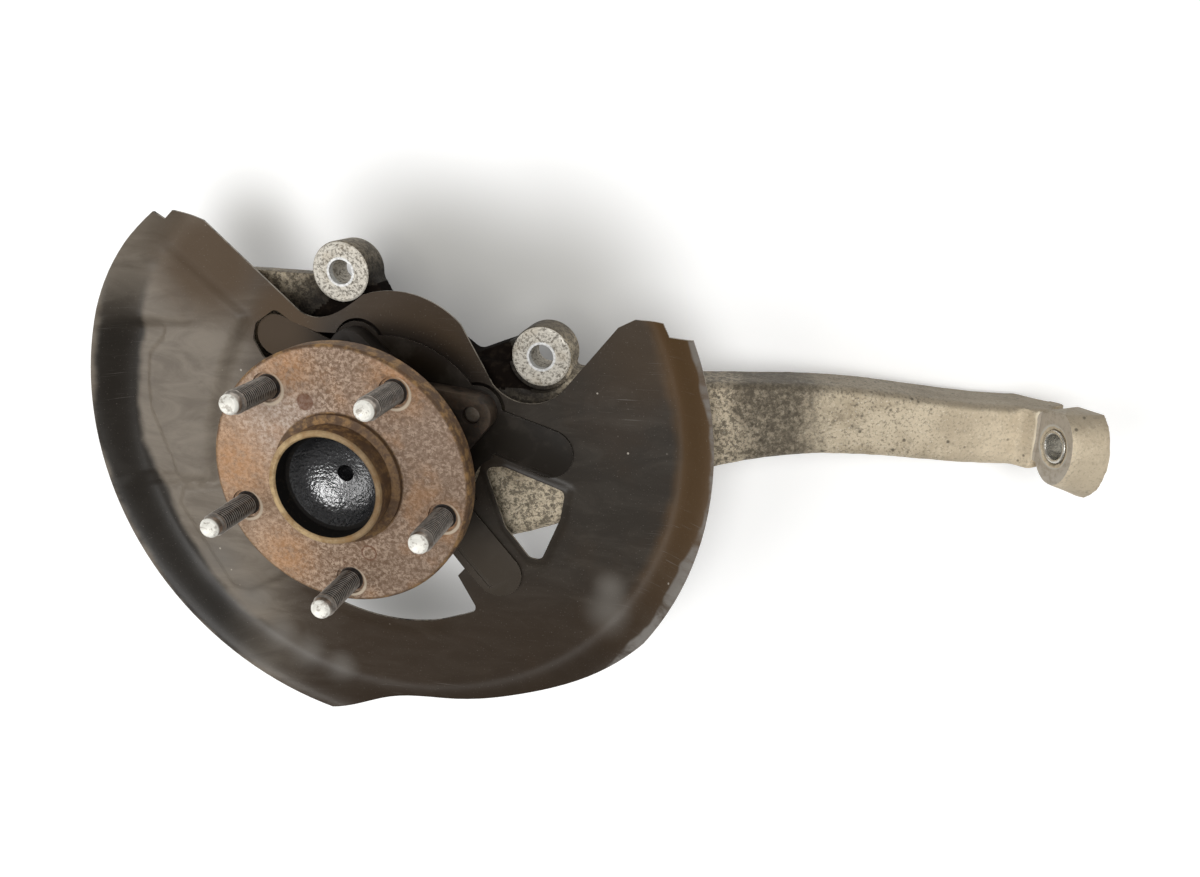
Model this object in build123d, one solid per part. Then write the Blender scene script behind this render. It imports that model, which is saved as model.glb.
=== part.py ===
from build123d import *
import os
from math import atan2, cos, radians, sin, tan

# Wheel hub: the origin is the middle of its outer face and +Z is the wheel axis, pointing outboard
flange_radius = 69.0
flange_thickness = 11.0
flange_edge_chamfer = 1.0
flange_boss_radius = 44.0
flange_boss_depth = 14.0
flange_boss_flare = 3.2
pilot_radius = 30.0
pilot_height = 15.0
pilot_inner_radius = 26.5
pilot_edge_chamfer = 0.8
pilot_base_radius = 34.3
pilot_base_height = 3.5
bowl_ledge_height = 5.0
bowl_radius = 24.3
bowl_depth = 7.5
bowl_knee_radius = 20.4
bowl_knee_depth = 2.2
bowl_floor_radius = 13.4
bowl_floor_depth = 6.0
centre_hole_radius = 4.5
centre_hole_bottom = -26.0

# Wheel studs
stud_count = 5
stud_circle_radius = 57.15
stud_first_angle = 126.66
stud_radius = 6.0
stud_length = 33.0
stud_lead_radius = 5.1
stud_lead_length = 4.5
stud_end_chamfer = 1.2
stud_knurl_radius = 6.6
stud_head_radius = 9.0
stud_head_height = 4.5
stud_recess_radius = 7.8
stud_recess_depth = 1.6

# Hub bearing with two rows of rollers, back to back
outboard_row_z = -33.0
inboard_row_z = -73.0
row_pitch_radius = 30.0
roller_radius = 4.2
roller_length = 11.0
roller_tilt = 14.0
roller_count = 12
roller_clearance = 0.15
cage_thickness = 1.2
cage_overhang = 1.4
pocket_clearance = 0.3
roller_end_clearance = 0.4
seal_seat_step = 1.33
seal_thickness = 5.0
seal_land_step = 2.2
seal_running_gap = 0.3
outer_ring_top = -18.0
outer_ring_wall = 3.5
outer_ring_bottom = -98.0
spindle_step = 1.85
inner_ring_wall = 3.0
inner_ring_top = -55.0
inner_ring_bottom = -86.0
inner_ring_land_step = 1.0
swage_overlap = 3.5
swage_height = 4.0
encoder_thickness = 1.6
encoder_flange = 3.8
cap_wall = 1.5
cap_depth = 12.0
cap_lip = 3.0

# Bearing flange and its four bolts
mounting_face_z = -66.0
lug_flange_thickness = 12.0
lug_radius = 11.5
lug_first_angle = 21.0
lug_pair_angle = 86.0
bolt_circle_step = 14.0
bolt_radius = 5.0
bolt_hole_clearance = 0.5
bolt_head_radius = 8.5
bolt_head_height = 7.0
bolt_end_setback = 3.0
bolt_end_chamfer = 1.0

# Pressed plate that carries the dust shield
plate_thickness = 1.6
plate_overlap = 8.0
plate_lug_radius = 14.0
plate_notch = (67.0, -27.0)
plate_notch_radius = 20.0
tongue_a_end = (92.4, -3.4)
tongue_a_root = (50.0, 12.0)
tongue_a_radius = 13.0
tongue_a_end_radius = 14.3
tongue_b_end = (60.0, -81.0)
tongue_b_root = (34.0, -49.0)
tongue_b_radius = 14.5
tongue_c_end = (-68.0, 57.0)
tongue_c_root = (-40.0, 47.0)
tongue_c_radius = 10.0
tongue_c_end_radius = 12.0
tongue_c_drop = 3.2
tongue_c_gap = 0.2

# Dust shield
sheet_thickness = 1.4
rim_radius = 185.2
rim_centre = (0.0, -1.2)
rim_rise = 13.6
rim_width = 19.0
shield_hole_clearance = 2.0
shield_hole_lug_radius = 15.5
rim_right_start = 21.5
rim_right_end = -36.0
rim_left_start = -105.5
rim_left_end = 157.0
dip_points = ((-32.7, -177), (-17, -173.8), (29.5, -170), (76, -158), (118, -137))
left_corner = (-147.0, 107.5)
left_tip = (-126.8, 126.0)
left_notch = (-124.0, 121.5)
left_shoulder = (-118.5, 126.4)
left_edge_top = (-103.9, 120.9)
left_edge_bottom = (-55.0, 75.0)
ear_1_recess = (-41.0, 68.5)
ear_1_recess_end = (-24.0, 74.0)
bump_start = (-12.0, 82.0)
bump_middle = (20.0, 82.5)
bump_end = (44.0, 67.5)
ear_2_recess_start = (61.0, 34.5)
ear_2_recess = (81.0, 24.5)
ear_2_recess_end = (101.0, 33.0)
right_edge_top = (131.3, 69.0)
right_shoulder = (140.3, 73.5)
right_tip = (155.6, 72.8)
right_notch = (158.9, 65.6)
slot_inner_corners = ((-36, 20), (-22, 59.9), (-42, 60.2), (-57, 65.8))
slot_outer_corners = ((-66.5, 72.5), (-79.5, 64), (-82.5, 54.5), (-77.4, 44.1))
lower_window_left = (-64.0, -99.0)
lower_window_bottom = (-6.0, -118.5)
lower_window_corner = (46.0, -108.0)
lower_window_tab = (34.4, -85.6)
lower_window_tab_top = (38.9, -80.5)
lower_window_top_right = (31.0, -70.0)
lower_window_top_left = (-46.0, -72.0)
side_window_corners = ((55, -14), (66, -12.5), (102, -25.5), (99, -42), (87, -69.5), (80, -68.5), (66, -50))
side_window_corner_radius = 4.0
window_lip_height = 2.4

# Knuckle casting
ring_setback = 4.0
ring_shoulder = 14.0
ring_shoulder_top = -73.0
ring_body_top = -77.0
ring_bottom = -100.0
barrel_step = 1.0
barrel_clearance = 0.05
boss_radius = 13.0
ear_1 = (-31.0, 92.3)
ear_2 = (85.5, 48.3)
ear_top = -81.0
ear_bottom = -105.0
ear_radius = 17.5
ear_hole_radius = 7.0
ear_edge_chamfer = 2.0
ear_face_margin = 1.5
ear_web_radius = 14.0
ear_web_root_radius = 22.0
ear_web_top = -86.0
ear_web_bottom = -103.0
ear_web_share = 0.45
gusset_far = (-94.0, 81.0)
gusset_near = (-36.0, 79.0)
gusset_edge_radius = 11.0
gusset_bottom = -100.0
bolt_seat_radius = 11.0
floor_z = -157.0

# Upper arm of the casting, by stations along X
root_x, root_middle_y, root_width, root_front_z, root_depth = 40.0, -9.5, 115.0, -77.0, 26.0
shoulder_x, shoulder_middle_y, shoulder_width = 97.0, -4.5, 93.0
neck_x, neck_middle_y, neck_width, neck_front_z, neck_depth = 182.0, 12.3, 50.4, -82.0, 36.0
bend_x, bend_middle_y, bend_width, bend_front_z, bend_depth = 251.0, 14.0, 40.0, -100.0, 38.0
tip_x, tip_middle_y, tip_width, tip_front_z, tip_depth = 350.0, 5.6, 34.8, -119.0, 37.0
arm_edge_radius = 6.0

# Ball joint eye at the end of the arm
eye_x, eye_y, eye_z = 362.2, 7.2, -100.0
eye_tilt = 18.9
eye_half_height = 15.5
eye_half_width = 20.5
eye_back_half_height = 19.5
eye_back_half_width = 27.0
eye_back_shift = -3.0
eye_crest_radius = 4.0
eye_crest_start = (355.7, 20.0, -117.0)
eye_crest_end = (382.6, 24.0, -101.0)
eye_length = 20.0
eye_face_stock = 1.8
eye_spot_radius = 13.0
bush_radius = 9.0
bush_bore_radius = 7.0

# Lower pad for the bolted ball joint
pad_x = -104.0
pad_half_length = 44.0
pad_width = 36.0
pad_height = 30.0
pad_hole_spacing = 64.0
pad_hole_radius = 6.0
pad_hole_depth = 24.0
pad_edge_radius = 6.0
leg_width = 62.0
leg_top = -80.0
leg_shoulder_x = -82.0
leg_inner_x = -58.0
leg_edge_radius = 10.0

# Sizes and directions that follow from the ones above
plate_bottom = mounting_face_z - plate_thickness
roller_reach = roller_length / 2 * cos(radians(roller_tilt)) + roller_radius * sin(radians(roller_tilt))
race_half_length = roller_reach + roller_end_clearance
race_rise = race_half_length * tan(radians(roller_tilt))
race_depth = (roller_radius + roller_clearance) / cos(radians(roller_tilt))
outer_race_mouth = row_pitch_radius + race_rise + race_depth
inner_race_mouth = row_pitch_radius + race_rise - race_depth
seal_seat_radius = outer_race_mouth + seal_seat_step
seal_land_radius = inner_race_mouth + seal_land_step
inner_ring_land_radius = inner_race_mouth + inner_ring_land_step
spindle_radius = row_pitch_radius - race_rise - race_depth - spindle_step
inner_ring_bore_radius = spindle_radius - inner_ring_wall
swage_radius = inner_ring_bore_radius + swage_overlap
encoder_radius = inner_ring_land_radius + encoder_flange
outer_ring_neck_radius = seal_seat_radius + outer_ring_wall
cap_lip_radius = seal_seat_radius + cap_lip
barrel_radius = outer_ring_neck_radius + barrel_step
bolt_circle_radius = barrel_radius + bolt_circle_step
ring_radius = bolt_circle_radius - ring_setback
ring_body_radius = ring_radius + ring_shoulder
plate_radius = ring_radius + plate_overlap
shield_hole_radius = ring_radius + shield_hole_clearance
crease_radius = rim_radius - rim_width
rim_slope = rim_rise / rim_width
bolt_angles = [lug_first_angle + half + step for half in (0, 180) for step in (0, lug_pair_angle)]
stud_angles = [stud_first_angle - index * 360 / stud_count for index in range(stud_count)]
eye_plane = Plane(
    origin=(eye_x, eye_y, eye_z),
    x_dir=(sin(radians(eye_tilt)), 0, cos(radians(eye_tilt))),
    z_dir=(-cos(radians(eye_tilt)), 0, sin(radians(eye_tilt))),
)


def polar(radius, angle):
    return (radius * cos(radians(angle)), radius * sin(radians(angle)))


def turned(*outline):
    """A solid of revolution about the wheel axis from (radius, height) points."""
    return revolve(Plane.XZ * make_face(Polyline(*outline, close=True)), Axis.Z)


def prism(sketch, bottom, top):
    """A flat sketch raised from one height to another."""
    return extrude(Pos(0, 0, bottom) * sketch, amount=top - bottom, dir=(0, 0, 1))


def disc(radius, centre=(0, 0)):
    return Pos(*centre) * Circle(radius)


def tongue(start, start_radius, end, end_radius):
    """The flat shape that wraps two circles."""
    edges = disc(start_radius, start).edges() + disc(end_radius, end).edges()
    return make_hull(edges)


def at_bolts(radius):
    return [disc(radius, polar(bolt_circle_radius, angle)) for angle in bolt_angles]


def race_offset(height, row_z, side):
    """Radius of the raceway at a height; side is +1 for the outer race and -1 for the inner one."""
    outward = 1 if row_z == outboard_row_z else -1
    return row_pitch_radius + outward * (height - row_z) * tan(radians(roller_tilt)) + side * race_depth


def make_hub():
    upper, lower = outboard_row_z + race_half_length, outboard_row_z - race_half_length
    body = turned(
        (0, centre_hole_bottom),
        (centre_hole_radius, centre_hole_bottom),
        (centre_hole_radius, -bowl_depth),
        (bowl_floor_radius, -bowl_floor_depth),
        (bowl_knee_radius, -bowl_knee_depth),
        (bowl_radius, bowl_ledge_height),
        (pilot_inner_radius, bowl_ledge_height),
        (pilot_inner_radius, pilot_height - pilot_edge_chamfer),
        (pilot_inner_radius + pilot_edge_chamfer, pilot_height),
        (pilot_radius - pilot_edge_chamfer, pilot_height),
        (pilot_radius, pilot_height - pilot_edge_chamfer),
        (pilot_radius, pilot_base_height),
        (pilot_base_radius, pilot_base_height - pilot_edge_chamfer),
        (pilot_base_radius, 0),
        (flange_radius - flange_edge_chamfer, 0),
        (flange_radius, -flange_edge_chamfer),
        (flange_radius, flange_edge_chamfer - flange_thickness),
        (flange_radius - flange_edge_chamfer, -flange_thickness),
        (flange_boss_radius, -flange_thickness),
        (flange_boss_radius - flange_boss_flare, -flange_boss_depth),
        (seal_land_radius, -flange_boss_depth),
        (seal_land_radius, upper),
        (race_offset(upper, outboard_row_z, -1), upper),
        (race_offset(lower, outboard_row_z, -1), lower),
        (spindle_radius, lower),
        (spindle_radius, inner_ring_top),
        (inner_ring_bore_radius, inner_ring_top),
        (inner_ring_bore_radius, inner_ring_bottom),
        (swage_radius, inner_ring_bottom),
        (swage_radius, inner_ring_bottom - swage_height),
        (0, inner_ring_bottom - swage_height),
    )
    for angle in stud_angles:
        place = polar(stud_circle_radius, angle)
        body -= prism(disc(stud_knurl_radius, place), -flange_thickness, 0)
        body -= prism(disc(stud_recess_radius, place), -stud_recess_depth, 0)
    return body


def make_stud(angle):
    under_head = -flange_thickness
    shank = turned(
        (0, under_head - stud_head_height),
        (stud_head_radius - flange_edge_chamfer, under_head - stud_head_height),
        (stud_head_radius, under_head - stud_head_height + flange_edge_chamfer),
        (stud_head_radius, under_head),
        (stud_knurl_radius, under_head),
        (stud_knurl_radius, -stud_recess_depth),
        (stud_radius, -stud_recess_depth),
        (stud_radius, stud_length - stud_lead_length - stud_end_chamfer),
        (stud_lead_radius, stud_length - stud_lead_length),
        (stud_lead_radius, stud_length - stud_end_chamfer),
        (stud_lead_radius - stud_end_chamfer, stud_length),
        (0, stud_length),
    )
    return Pos(*polar(stud_circle_radius, angle)) * shank


def make_outer_ring():
    upper, lower = outboard_row_z + race_half_length, outboard_row_z - race_half_length
    rear_upper, rear_lower = inboard_row_z + race_half_length, inboard_row_z - race_half_length
    ring = turned(
        (seal_seat_radius, outer_ring_top),
        (outer_ring_neck_radius, outer_ring_top),
        (outer_ring_neck_radius, mounting_face_z),
        (barrel_radius - barrel_clearance, mounting_face_z),
        (barrel_radius - barrel_clearance, outer_ring_bottom),
        (seal_seat_radius, outer_ring_bottom),
        (seal_seat_radius, rear_lower),
        (race_offset(rear_lower, inboard_row_z, 1), rear_lower),
        (race_offset(rear_upper, inboard_row_z, 1), rear_upper),
        (race_offset(lower, outboard_row_z, 1), lower),
        (race_offset(upper, outboard_row_z, 1), upper),
        (seal_seat_radius, upper),
    )
    lug_top = mounting_face_z + lug_flange_thickness
    bore = prism(disc(seal_seat_radius), mounting_face_z, lug_top)
    for angle in bolt_angles:
        place = polar(bolt_circle_radius, angle)
        lug = tongue((0, 0), seal_seat_radius, place, lug_radius) - disc(bolt_radius, place)
        ring += prism(lug, mounting_face_z, lug_top) - bore
    return ring


def make_inner_ring():
    upper, lower = inboard_row_z + race_half_length, inboard_row_z - race_half_length
    return turned(
        (inner_ring_bore_radius, inner_ring_top),
        (race_offset(upper, inboard_row_z, -1), inner_ring_top),
        (race_offset(upper, inboard_row_z, -1), upper),
        (race_offset(lower, inboard_row_z, -1), lower),
        (inner_ring_land_radius, lower),
        (inner_ring_land_radius, inner_ring_bottom),
        (inner_ring_bore_radius, inner_ring_bottom),
    )


def row_places(row_z):
    """Places of the rollers of one row, tilted so that the row opens away from the middle."""
    tilt = roller_tilt if row_z == outboard_row_z else -roller_tilt
    spread = [index * 360 / roller_count for index in range(roller_count)]
    return [Rot(0, 0, angle) * Pos(row_pitch_radius, 0, row_z) * Rot(0, tilt, 0) for angle in spread]


def make_rollers(row_z):
    return Compound([place * Cylinder(roller_radius, roller_length) for place in row_places(row_z)])


def make_cage(row_z):
    half = roller_length / 2 * cos(radians(roller_tilt)) + cage_overhang
    flare = half * tan(radians(roller_tilt)) * (1 if row_z == outboard_row_z else -1)
    inner = row_pitch_radius - cage_thickness / 2
    outer = row_pitch_radius + cage_thickness / 2
    cage = turned(
        (inner + flare, row_z + half),
        (outer + flare, row_z + half),
        (outer - flare, row_z - half),
        (inner - flare, row_z - half),
    )
    room = 2 * pocket_clearance
    pocket = Box(4 * cage_thickness, 2 * roller_radius + room, roller_length + room)
    for place in row_places(row_z):
        cage -= place * pocket
    return cage


def make_seal():
    return turned(
        (seal_land_radius + seal_running_gap, outer_ring_top),
        (seal_seat_radius, outer_ring_top),
        (seal_seat_radius, outer_ring_top - seal_thickness),
        (seal_land_radius + seal_thickness, outer_ring_top - seal_thickness + cap_wall),
        (seal_land_radius + seal_running_gap, outer_ring_top - cap_wall),
    )


def make_encoder():
    seat = inner_ring_bottom + encoder_thickness
    return turned(
        (inner_ring_land_radius, seat + 2 * encoder_thickness),
        (inner_ring_land_radius + encoder_thickness, seat + 2 * encoder_thickness),
        (inner_ring_land_radius + encoder_thickness, seat),
        (encoder_radius, seat),
        (encoder_radius, inner_ring_bottom),
        (inner_ring_land_radius, inner_ring_bottom),
    )


def make_rear_cap():
    rim = outer_ring_bottom
    bottom = outer_ring_bottom - cap_depth
    skirt = seal_seat_radius - cap_wall
    return turned(
        (0, bottom),
        (skirt - cap_wall, bottom),
        (seal_seat_radius, bottom + 2 * cap_wall),
        (seal_seat_radius, rim - cap_wall),
        (cap_lip_radius, rim - cap_wall),
        (cap_lip_radius, rim),
        (seal_seat_radius, rim),
        (seal_seat_radius, rim + 3 * cap_wall),
        (skirt, rim + 3 * cap_wall),
        (skirt, bottom + 2 * cap_wall),
        (skirt - cap_wall, bottom + cap_wall),
        (0, bottom + cap_wall),
    )


def make_bolt(angle):
    head = extrude(RegularPolygon(bolt_head_radius, 6), amount=bolt_head_height)
    end = mounting_face_z + lug_flange_thickness - bolt_end_setback
    shank = turned(
        (0, ring_bottom),
        (bolt_radius, ring_bottom),
        (bolt_radius, end - bolt_end_chamfer),
        (bolt_radius - bolt_end_chamfer, end),
        (0, end),
    )
    bolt = shank + Pos(0, 0, ring_bottom - bolt_head_height) * head
    return Pos(*polar(bolt_circle_radius, angle)) * bolt


def make_mounting_plate():
    outline = disc(plate_radius) - disc(plate_notch_radius, plate_notch)
    for circle in at_bolts(plate_lug_radius):
        outline += circle
    outline += tongue(tongue_a_root, tongue_a_radius, tongue_a_end, tongue_a_end_radius)
    outline += tongue(tongue_b_root, tongue_b_radius, tongue_b_end, tongue_b_radius)
    outline -= disc(barrel_radius)
    for circle in at_bolts(bolt_radius + bolt_hole_clearance):
        outline -= circle
    low_tongue = tongue(tongue_c_root, tongue_c_radius, tongue_c_end, tongue_c_end_radius)
    low_tongue -= disc(ring_radius + tongue_c_gap)
    step = low_tongue & disc(ring_radius + tongue_c_gap + plate_thickness)
    plate = prism(outline, plate_bottom, mounting_face_z)
    plate += prism(low_tongue, plate_bottom - tongue_c_drop, mounting_face_z - tongue_c_drop)
    return plate + prism(step, plate_bottom - tongue_c_drop, mounting_face_z)


def shield_outline():
    right_rim = CenterArc(rim_centre, rim_radius, rim_right_start, rim_right_end - rim_right_start)
    left_sweep = rim_left_end - 360 - rim_left_start
    left_rim = CenterArc(rim_centre, rim_radius, rim_left_start, left_sweep)
    left_curve = Spline(left_rim @ 1, left_corner, left_tip)
    dip = Spline(right_rim @ 1, *reversed(dip_points), left_rim @ 0)
    left_ear = Spline(left_edge_bottom, ear_1_recess, ear_1_recess_end, bump_start)
    bump = ThreePointArc(bump_start, bump_middle, bump_end)
    right_ear = ThreePointArc(ear_2_recess_start, ear_2_recess, ear_2_recess_end)
    left_end = Polyline(left_tip, left_notch, left_shoulder, left_edge_top, left_edge_bottom)
    right_end = Polyline(
        ear_2_recess_end, right_edge_top, right_shoulder, right_tip, right_notch, right_rim @ 0)
    step = Line(bump_end, ear_2_recess_start)
    return make_face([right_rim, dip, left_rim, left_curve, *left_end.edges(), left_ear, bump, step,
                      right_ear, *right_end.edges()])


def side_window():
    corners = make_face(Polyline(*side_window_corners, close=True))
    return fillet(corners.vertices(), side_window_corner_radius)


def lower_window():
    bottom = ThreePointArc(lower_window_left, lower_window_bottom, lower_window_corner)
    sides = Polyline(
        lower_window_corner,
        lower_window_tab,
        lower_window_tab_top,
        lower_window_top_right,
        lower_window_top_left,
        lower_window_left,
    )
    corners = make_face([bottom, *sides.edges()])
    ends = [bottom @ 0, bottom @ 1, lower_window_top_right, lower_window_top_left]
    rounded = [corners.vertices().sort_by_distance(place)[0] for place in ends]
    return fillet(rounded, side_window_corner_radius)


def plate_slot():
    """The slot of the shield that shows the plate's low tongue."""
    corners = make_face(Polyline(*slot_inner_corners, *slot_outer_corners, close=True))
    return fillet(corners.vertices(), side_window_corner_radius)


def make_dust_shield():
    top = plate_bottom
    half_turn = atan2(rim_rise, rim_width) / 2
    mitre = sheet_thickness * tan(half_turn)
    across, down = sheet_thickness * sin(2 * half_turn), sheet_thickness * cos(2 * half_turn)
    reach = rim_width
    pan = turned(
        (ring_radius, top),
        (crease_radius, top),
        (rim_radius + reach, top + rim_rise + reach * rim_slope),
        (rim_radius + reach + across, top + rim_rise + reach * rim_slope - down),
        (crease_radius + mitre, top - sheet_thickness),
        (ring_radius, top - sheet_thickness),
    )
    sheet_room = rim_rise + 2 * reach
    shield = pan & prism(shield_outline(), top - sheet_room, top + sheet_room)
    shield += prism(offset(side_window(), sheet_thickness), top - sheet_thickness, top + window_lip_height)
    hub_hole = disc(shield_hole_radius) + plate_slot()
    for circle in at_bolts(shield_hole_lug_radius):
        hub_hole += circle
    for window in (hub_hole, lower_window(), side_window()):
        shield -= prism(window, top - sheet_room, top + sheet_room)
    return shield


def arm_side(side):
    """One edge of the upper arm in plan; side is +1 or -1."""
    return [
        (root_x, root_middle_y + side * root_width / 2),
        (shoulder_x, shoulder_middle_y + side * shoulder_width / 2),
        (neck_x, neck_middle_y + side * neck_width / 2),
        (bend_x, bend_middle_y + side * bend_width / 2),
        (tip_x, tip_middle_y + side * tip_width / 2),
        (eye_x + eye_length / 2, eye_y + side * tip_width / 2),
    ]


def make_arm():
    plan_top, plan_bottom = Spline(*arm_side(1)), Spline(*arm_side(-1))
    root, end = Line(plan_top @ 0, plan_bottom @ 0), Line(plan_top @ 1, plan_bottom @ 1)
    plan = make_face([plan_top, plan_bottom, root, end])
    front = Spline(
        (root_x, root_front_z),
        (neck_x, neck_front_z),
        (bend_x, bend_front_z),
        (tip_x, tip_front_z),
        tangents=((1, 0), (tip_x - bend_x, tip_front_z - bend_front_z)),
    )
    back = Spline(
        (root_x, root_front_z - root_depth),
        (neck_x, neck_front_z - neck_depth),
        (bend_x, bend_front_z - bend_depth),
        (tip_x, tip_front_z - tip_depth),
    )
    ridge = eye_plane.from_local_coords((-eye_spot_radius - eye_face_stock, 0, eye_face_stock))
    heel = eye_plane.from_local_coords((-eye_half_width, 0, -eye_length))
    end = Polyline(front @ 1, (ridge.X, ridge.Z), (heel.X, heel.Z), back @ 1)
    side = make_face([front, back, Line(front @ 0, back @ 0), *end.edges()])
    height = root_front_z - floor_z
    arm = prism(plan, floor_z, floor_z + 2 * height) & extrude(Plane.XZ * side, amount=root_width, both=True)
    long_edges = [edge for edge in arm.edges() if edge.length > tip_x - bend_x]
    return fillet(long_edges, arm_edge_radius)


def make_leg():
    """The lower leg, which reaches down to the bar that takes the bolted ball joint."""
    outer_x, inner_x = pad_x - pad_width / 2, pad_x + pad_width / 2
    pad_top = floor_z + pad_height
    shoulder, crook = (leg_shoulder_x, leg_top), (leg_inner_x, ring_bottom)
    corners = make_face(Polyline(
        (-ring_radius / 2, leg_top),
        shoulder,
        (outer_x, pad_top + leg_edge_radius),
        (outer_x, floor_z + leg_edge_radius),
        (inner_x, floor_z + leg_edge_radius),
        (inner_x, pad_top),
        crook,
        (-ring_radius / 2, ring_bottom),
        close=True,
    ))
    bends = [corners.vertices().sort_by_distance(bend)[0] for bend in (shoulder, crook)]
    profile = fillet(bends, leg_edge_radius)
    leg = extrude(Plane.XZ * profile, amount=leg_width / 2, both=True)
    bar = Box(pad_width, 2 * pad_half_length, pad_height)
    bar = fillet(bar.edges().filter_by(Axis.Z), pad_edge_radius)
    leg += Pos(pad_x, 0, floor_z + pad_height / 2) * bar
    for side in (-1, 1):
        place = (pad_x, side * pad_hole_spacing / 2)
        leg -= prism(disc(pad_hole_radius, place), floor_z, floor_z + pad_hole_depth)
    return leg


def make_eye():
    front = eye_plane.offset(eye_face_stock) * Ellipse(eye_half_height, eye_half_width)
    back = eye_plane.offset(-eye_length) * Pos(0, eye_back_shift)
    back *= Ellipse(eye_back_half_height, eye_back_half_width)
    along = Vector(eye_crest_end) - Vector(eye_crest_start)
    crest_plane = Plane(origin=eye_crest_start, z_dir=along)
    crest = extrude(crest_plane * Circle(eye_crest_radius), amount=along.length)
    crest &= eye_plane * Cylinder(2 * eye_back_half_width, 2 * eye_length)
    return loft([front, back]) + crest


def make_knuckle():
    body = turned((0, ring_bottom), (ring_body_radius, ring_bottom), (ring_body_radius, ring_body_top),
                  (ring_radius, ring_shoulder_top), (ring_radius, plate_bottom), (0, plate_bottom))
    for circle in at_bolts(boss_radius):
        body += prism(circle, ring_bottom, plate_bottom)
    for ear in (ear_1, ear_2):
        root = (ear[0] * ear_web_share, ear[1] * ear_web_share)
        body += prism(tongue(root, ear_web_root_radius, ear, ear_web_radius), ear_web_bottom, ear_web_top)
        boss = Cylinder(ear_radius, ear_top - ear_bottom)
        boss = chamfer(boss.edges(), ear_edge_chamfer)
        body += Pos(*ear, (ear_top + ear_bottom) / 2) * boss
    gusset = disc(gusset_edge_radius, gusset_far).edges() + disc(gusset_edge_radius, gusset_near).edges()
    gusset += disc(gusset_edge_radius, (leg_shoulder_x, 0)).edges() + disc(gusset_edge_radius).edges()
    body += prism(make_hull(gusset), gusset_bottom, ear_web_top)
    body += make_leg()
    body += make_arm()
    body += make_eye()
    body -= eye_plane * Pos(0, 0, eye_length) * Cylinder(eye_spot_radius, 2 * eye_length)
    body -= eye_plane * Cylinder(bush_radius, 4 * eye_length)
    body -= prism(disc(barrel_radius), floor_z, 0)
    for circle in at_bolts(bolt_radius + bolt_hole_clearance):
        body -= prism(circle, ring_bottom, plate_bottom)
    for circle in at_bolts(bolt_seat_radius):
        body -= prism(circle, floor_z, ring_bottom)
    for ear in (ear_1, ear_2):
        body -= prism(disc(ear_hole_radius, ear), ear_bottom, ear_top)
        body -= prism(disc(ear_radius + ear_face_margin, ear), ear_top, plate_bottom)
    return body


def make_bush():
    return eye_plane * Pos(0, 0, -eye_length / 2) * (
        Cylinder(bush_radius, eye_length) - Cylinder(bush_bore_radius, eye_length))


if __name__ == "__main__":
    os.makedirs("parts", exist_ok=True)
    pieces = {
        "hub": make_hub(),
        "bearing_outer_ring": make_outer_ring(),
        "bearing_inner_ring": make_inner_ring(),
        "outboard_rollers": make_rollers(outboard_row_z),
        "inboard_rollers": make_rollers(inboard_row_z),
        "outboard_cage": make_cage(outboard_row_z),
        "inboard_cage": make_cage(inboard_row_z),
        "outboard_seal": make_seal(),
        "encoder_ring": make_encoder(),
        "bearing_rear_cap": make_rear_cap(),
        "shield_mounting_plate": make_mounting_plate(),
        "dust_shield": make_dust_shield(),
        "knuckle": make_knuckle(),
        "ball_joint_bush": make_bush(),
    }
    for index, angle in enumerate(stud_angles):
        pieces[f"wheel_stud_{index + 1}"] = make_stud(angle)
    for index, angle in enumerate(bolt_angles):
        pieces[f"hub_bolt_{index + 1}"] = make_bolt(angle)
    for node, shape in pieces.items():
        export_step(shape, f"parts/{node}.step")
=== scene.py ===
"""Dresses the CAD frame of a used steering knuckle: casting, dust shield, wheel hub, studs and stage."""

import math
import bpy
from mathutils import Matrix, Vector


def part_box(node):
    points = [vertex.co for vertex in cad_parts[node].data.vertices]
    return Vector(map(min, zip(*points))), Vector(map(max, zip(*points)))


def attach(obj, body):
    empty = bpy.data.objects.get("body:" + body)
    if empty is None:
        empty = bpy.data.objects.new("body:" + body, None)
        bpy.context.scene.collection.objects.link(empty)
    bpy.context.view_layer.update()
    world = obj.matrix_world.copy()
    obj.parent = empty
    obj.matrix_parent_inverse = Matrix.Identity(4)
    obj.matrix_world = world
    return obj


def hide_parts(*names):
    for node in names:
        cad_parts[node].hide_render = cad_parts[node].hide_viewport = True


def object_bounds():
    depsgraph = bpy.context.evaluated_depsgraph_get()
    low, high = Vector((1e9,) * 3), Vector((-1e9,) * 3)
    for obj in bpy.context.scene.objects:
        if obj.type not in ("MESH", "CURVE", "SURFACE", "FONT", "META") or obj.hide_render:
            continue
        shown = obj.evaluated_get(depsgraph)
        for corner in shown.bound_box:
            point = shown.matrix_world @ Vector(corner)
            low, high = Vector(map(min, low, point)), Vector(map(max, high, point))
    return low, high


bl_info = {
    "name": "Steering Knuckle Dressing",
    "version": (1, 0, 0),
    "blender": (4, 5, 0),
    "location": "3D View > Sidebar > Knuckle",
    "description": "Builds the finished surfaces of a used steering knuckle over its CAD frame",
    "category": "Object",
}

import bpy
from bpy.props import FloatProperty, FloatVectorProperty, IntProperty, PointerProperty
from mathutils import Matrix, Vector

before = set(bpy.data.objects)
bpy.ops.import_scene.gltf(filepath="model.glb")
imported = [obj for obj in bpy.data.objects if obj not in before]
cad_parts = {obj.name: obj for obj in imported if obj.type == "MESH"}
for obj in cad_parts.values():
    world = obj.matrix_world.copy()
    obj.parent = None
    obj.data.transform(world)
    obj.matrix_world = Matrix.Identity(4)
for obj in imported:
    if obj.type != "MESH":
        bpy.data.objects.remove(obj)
CAD_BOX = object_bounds()
MM = 0.001

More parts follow.
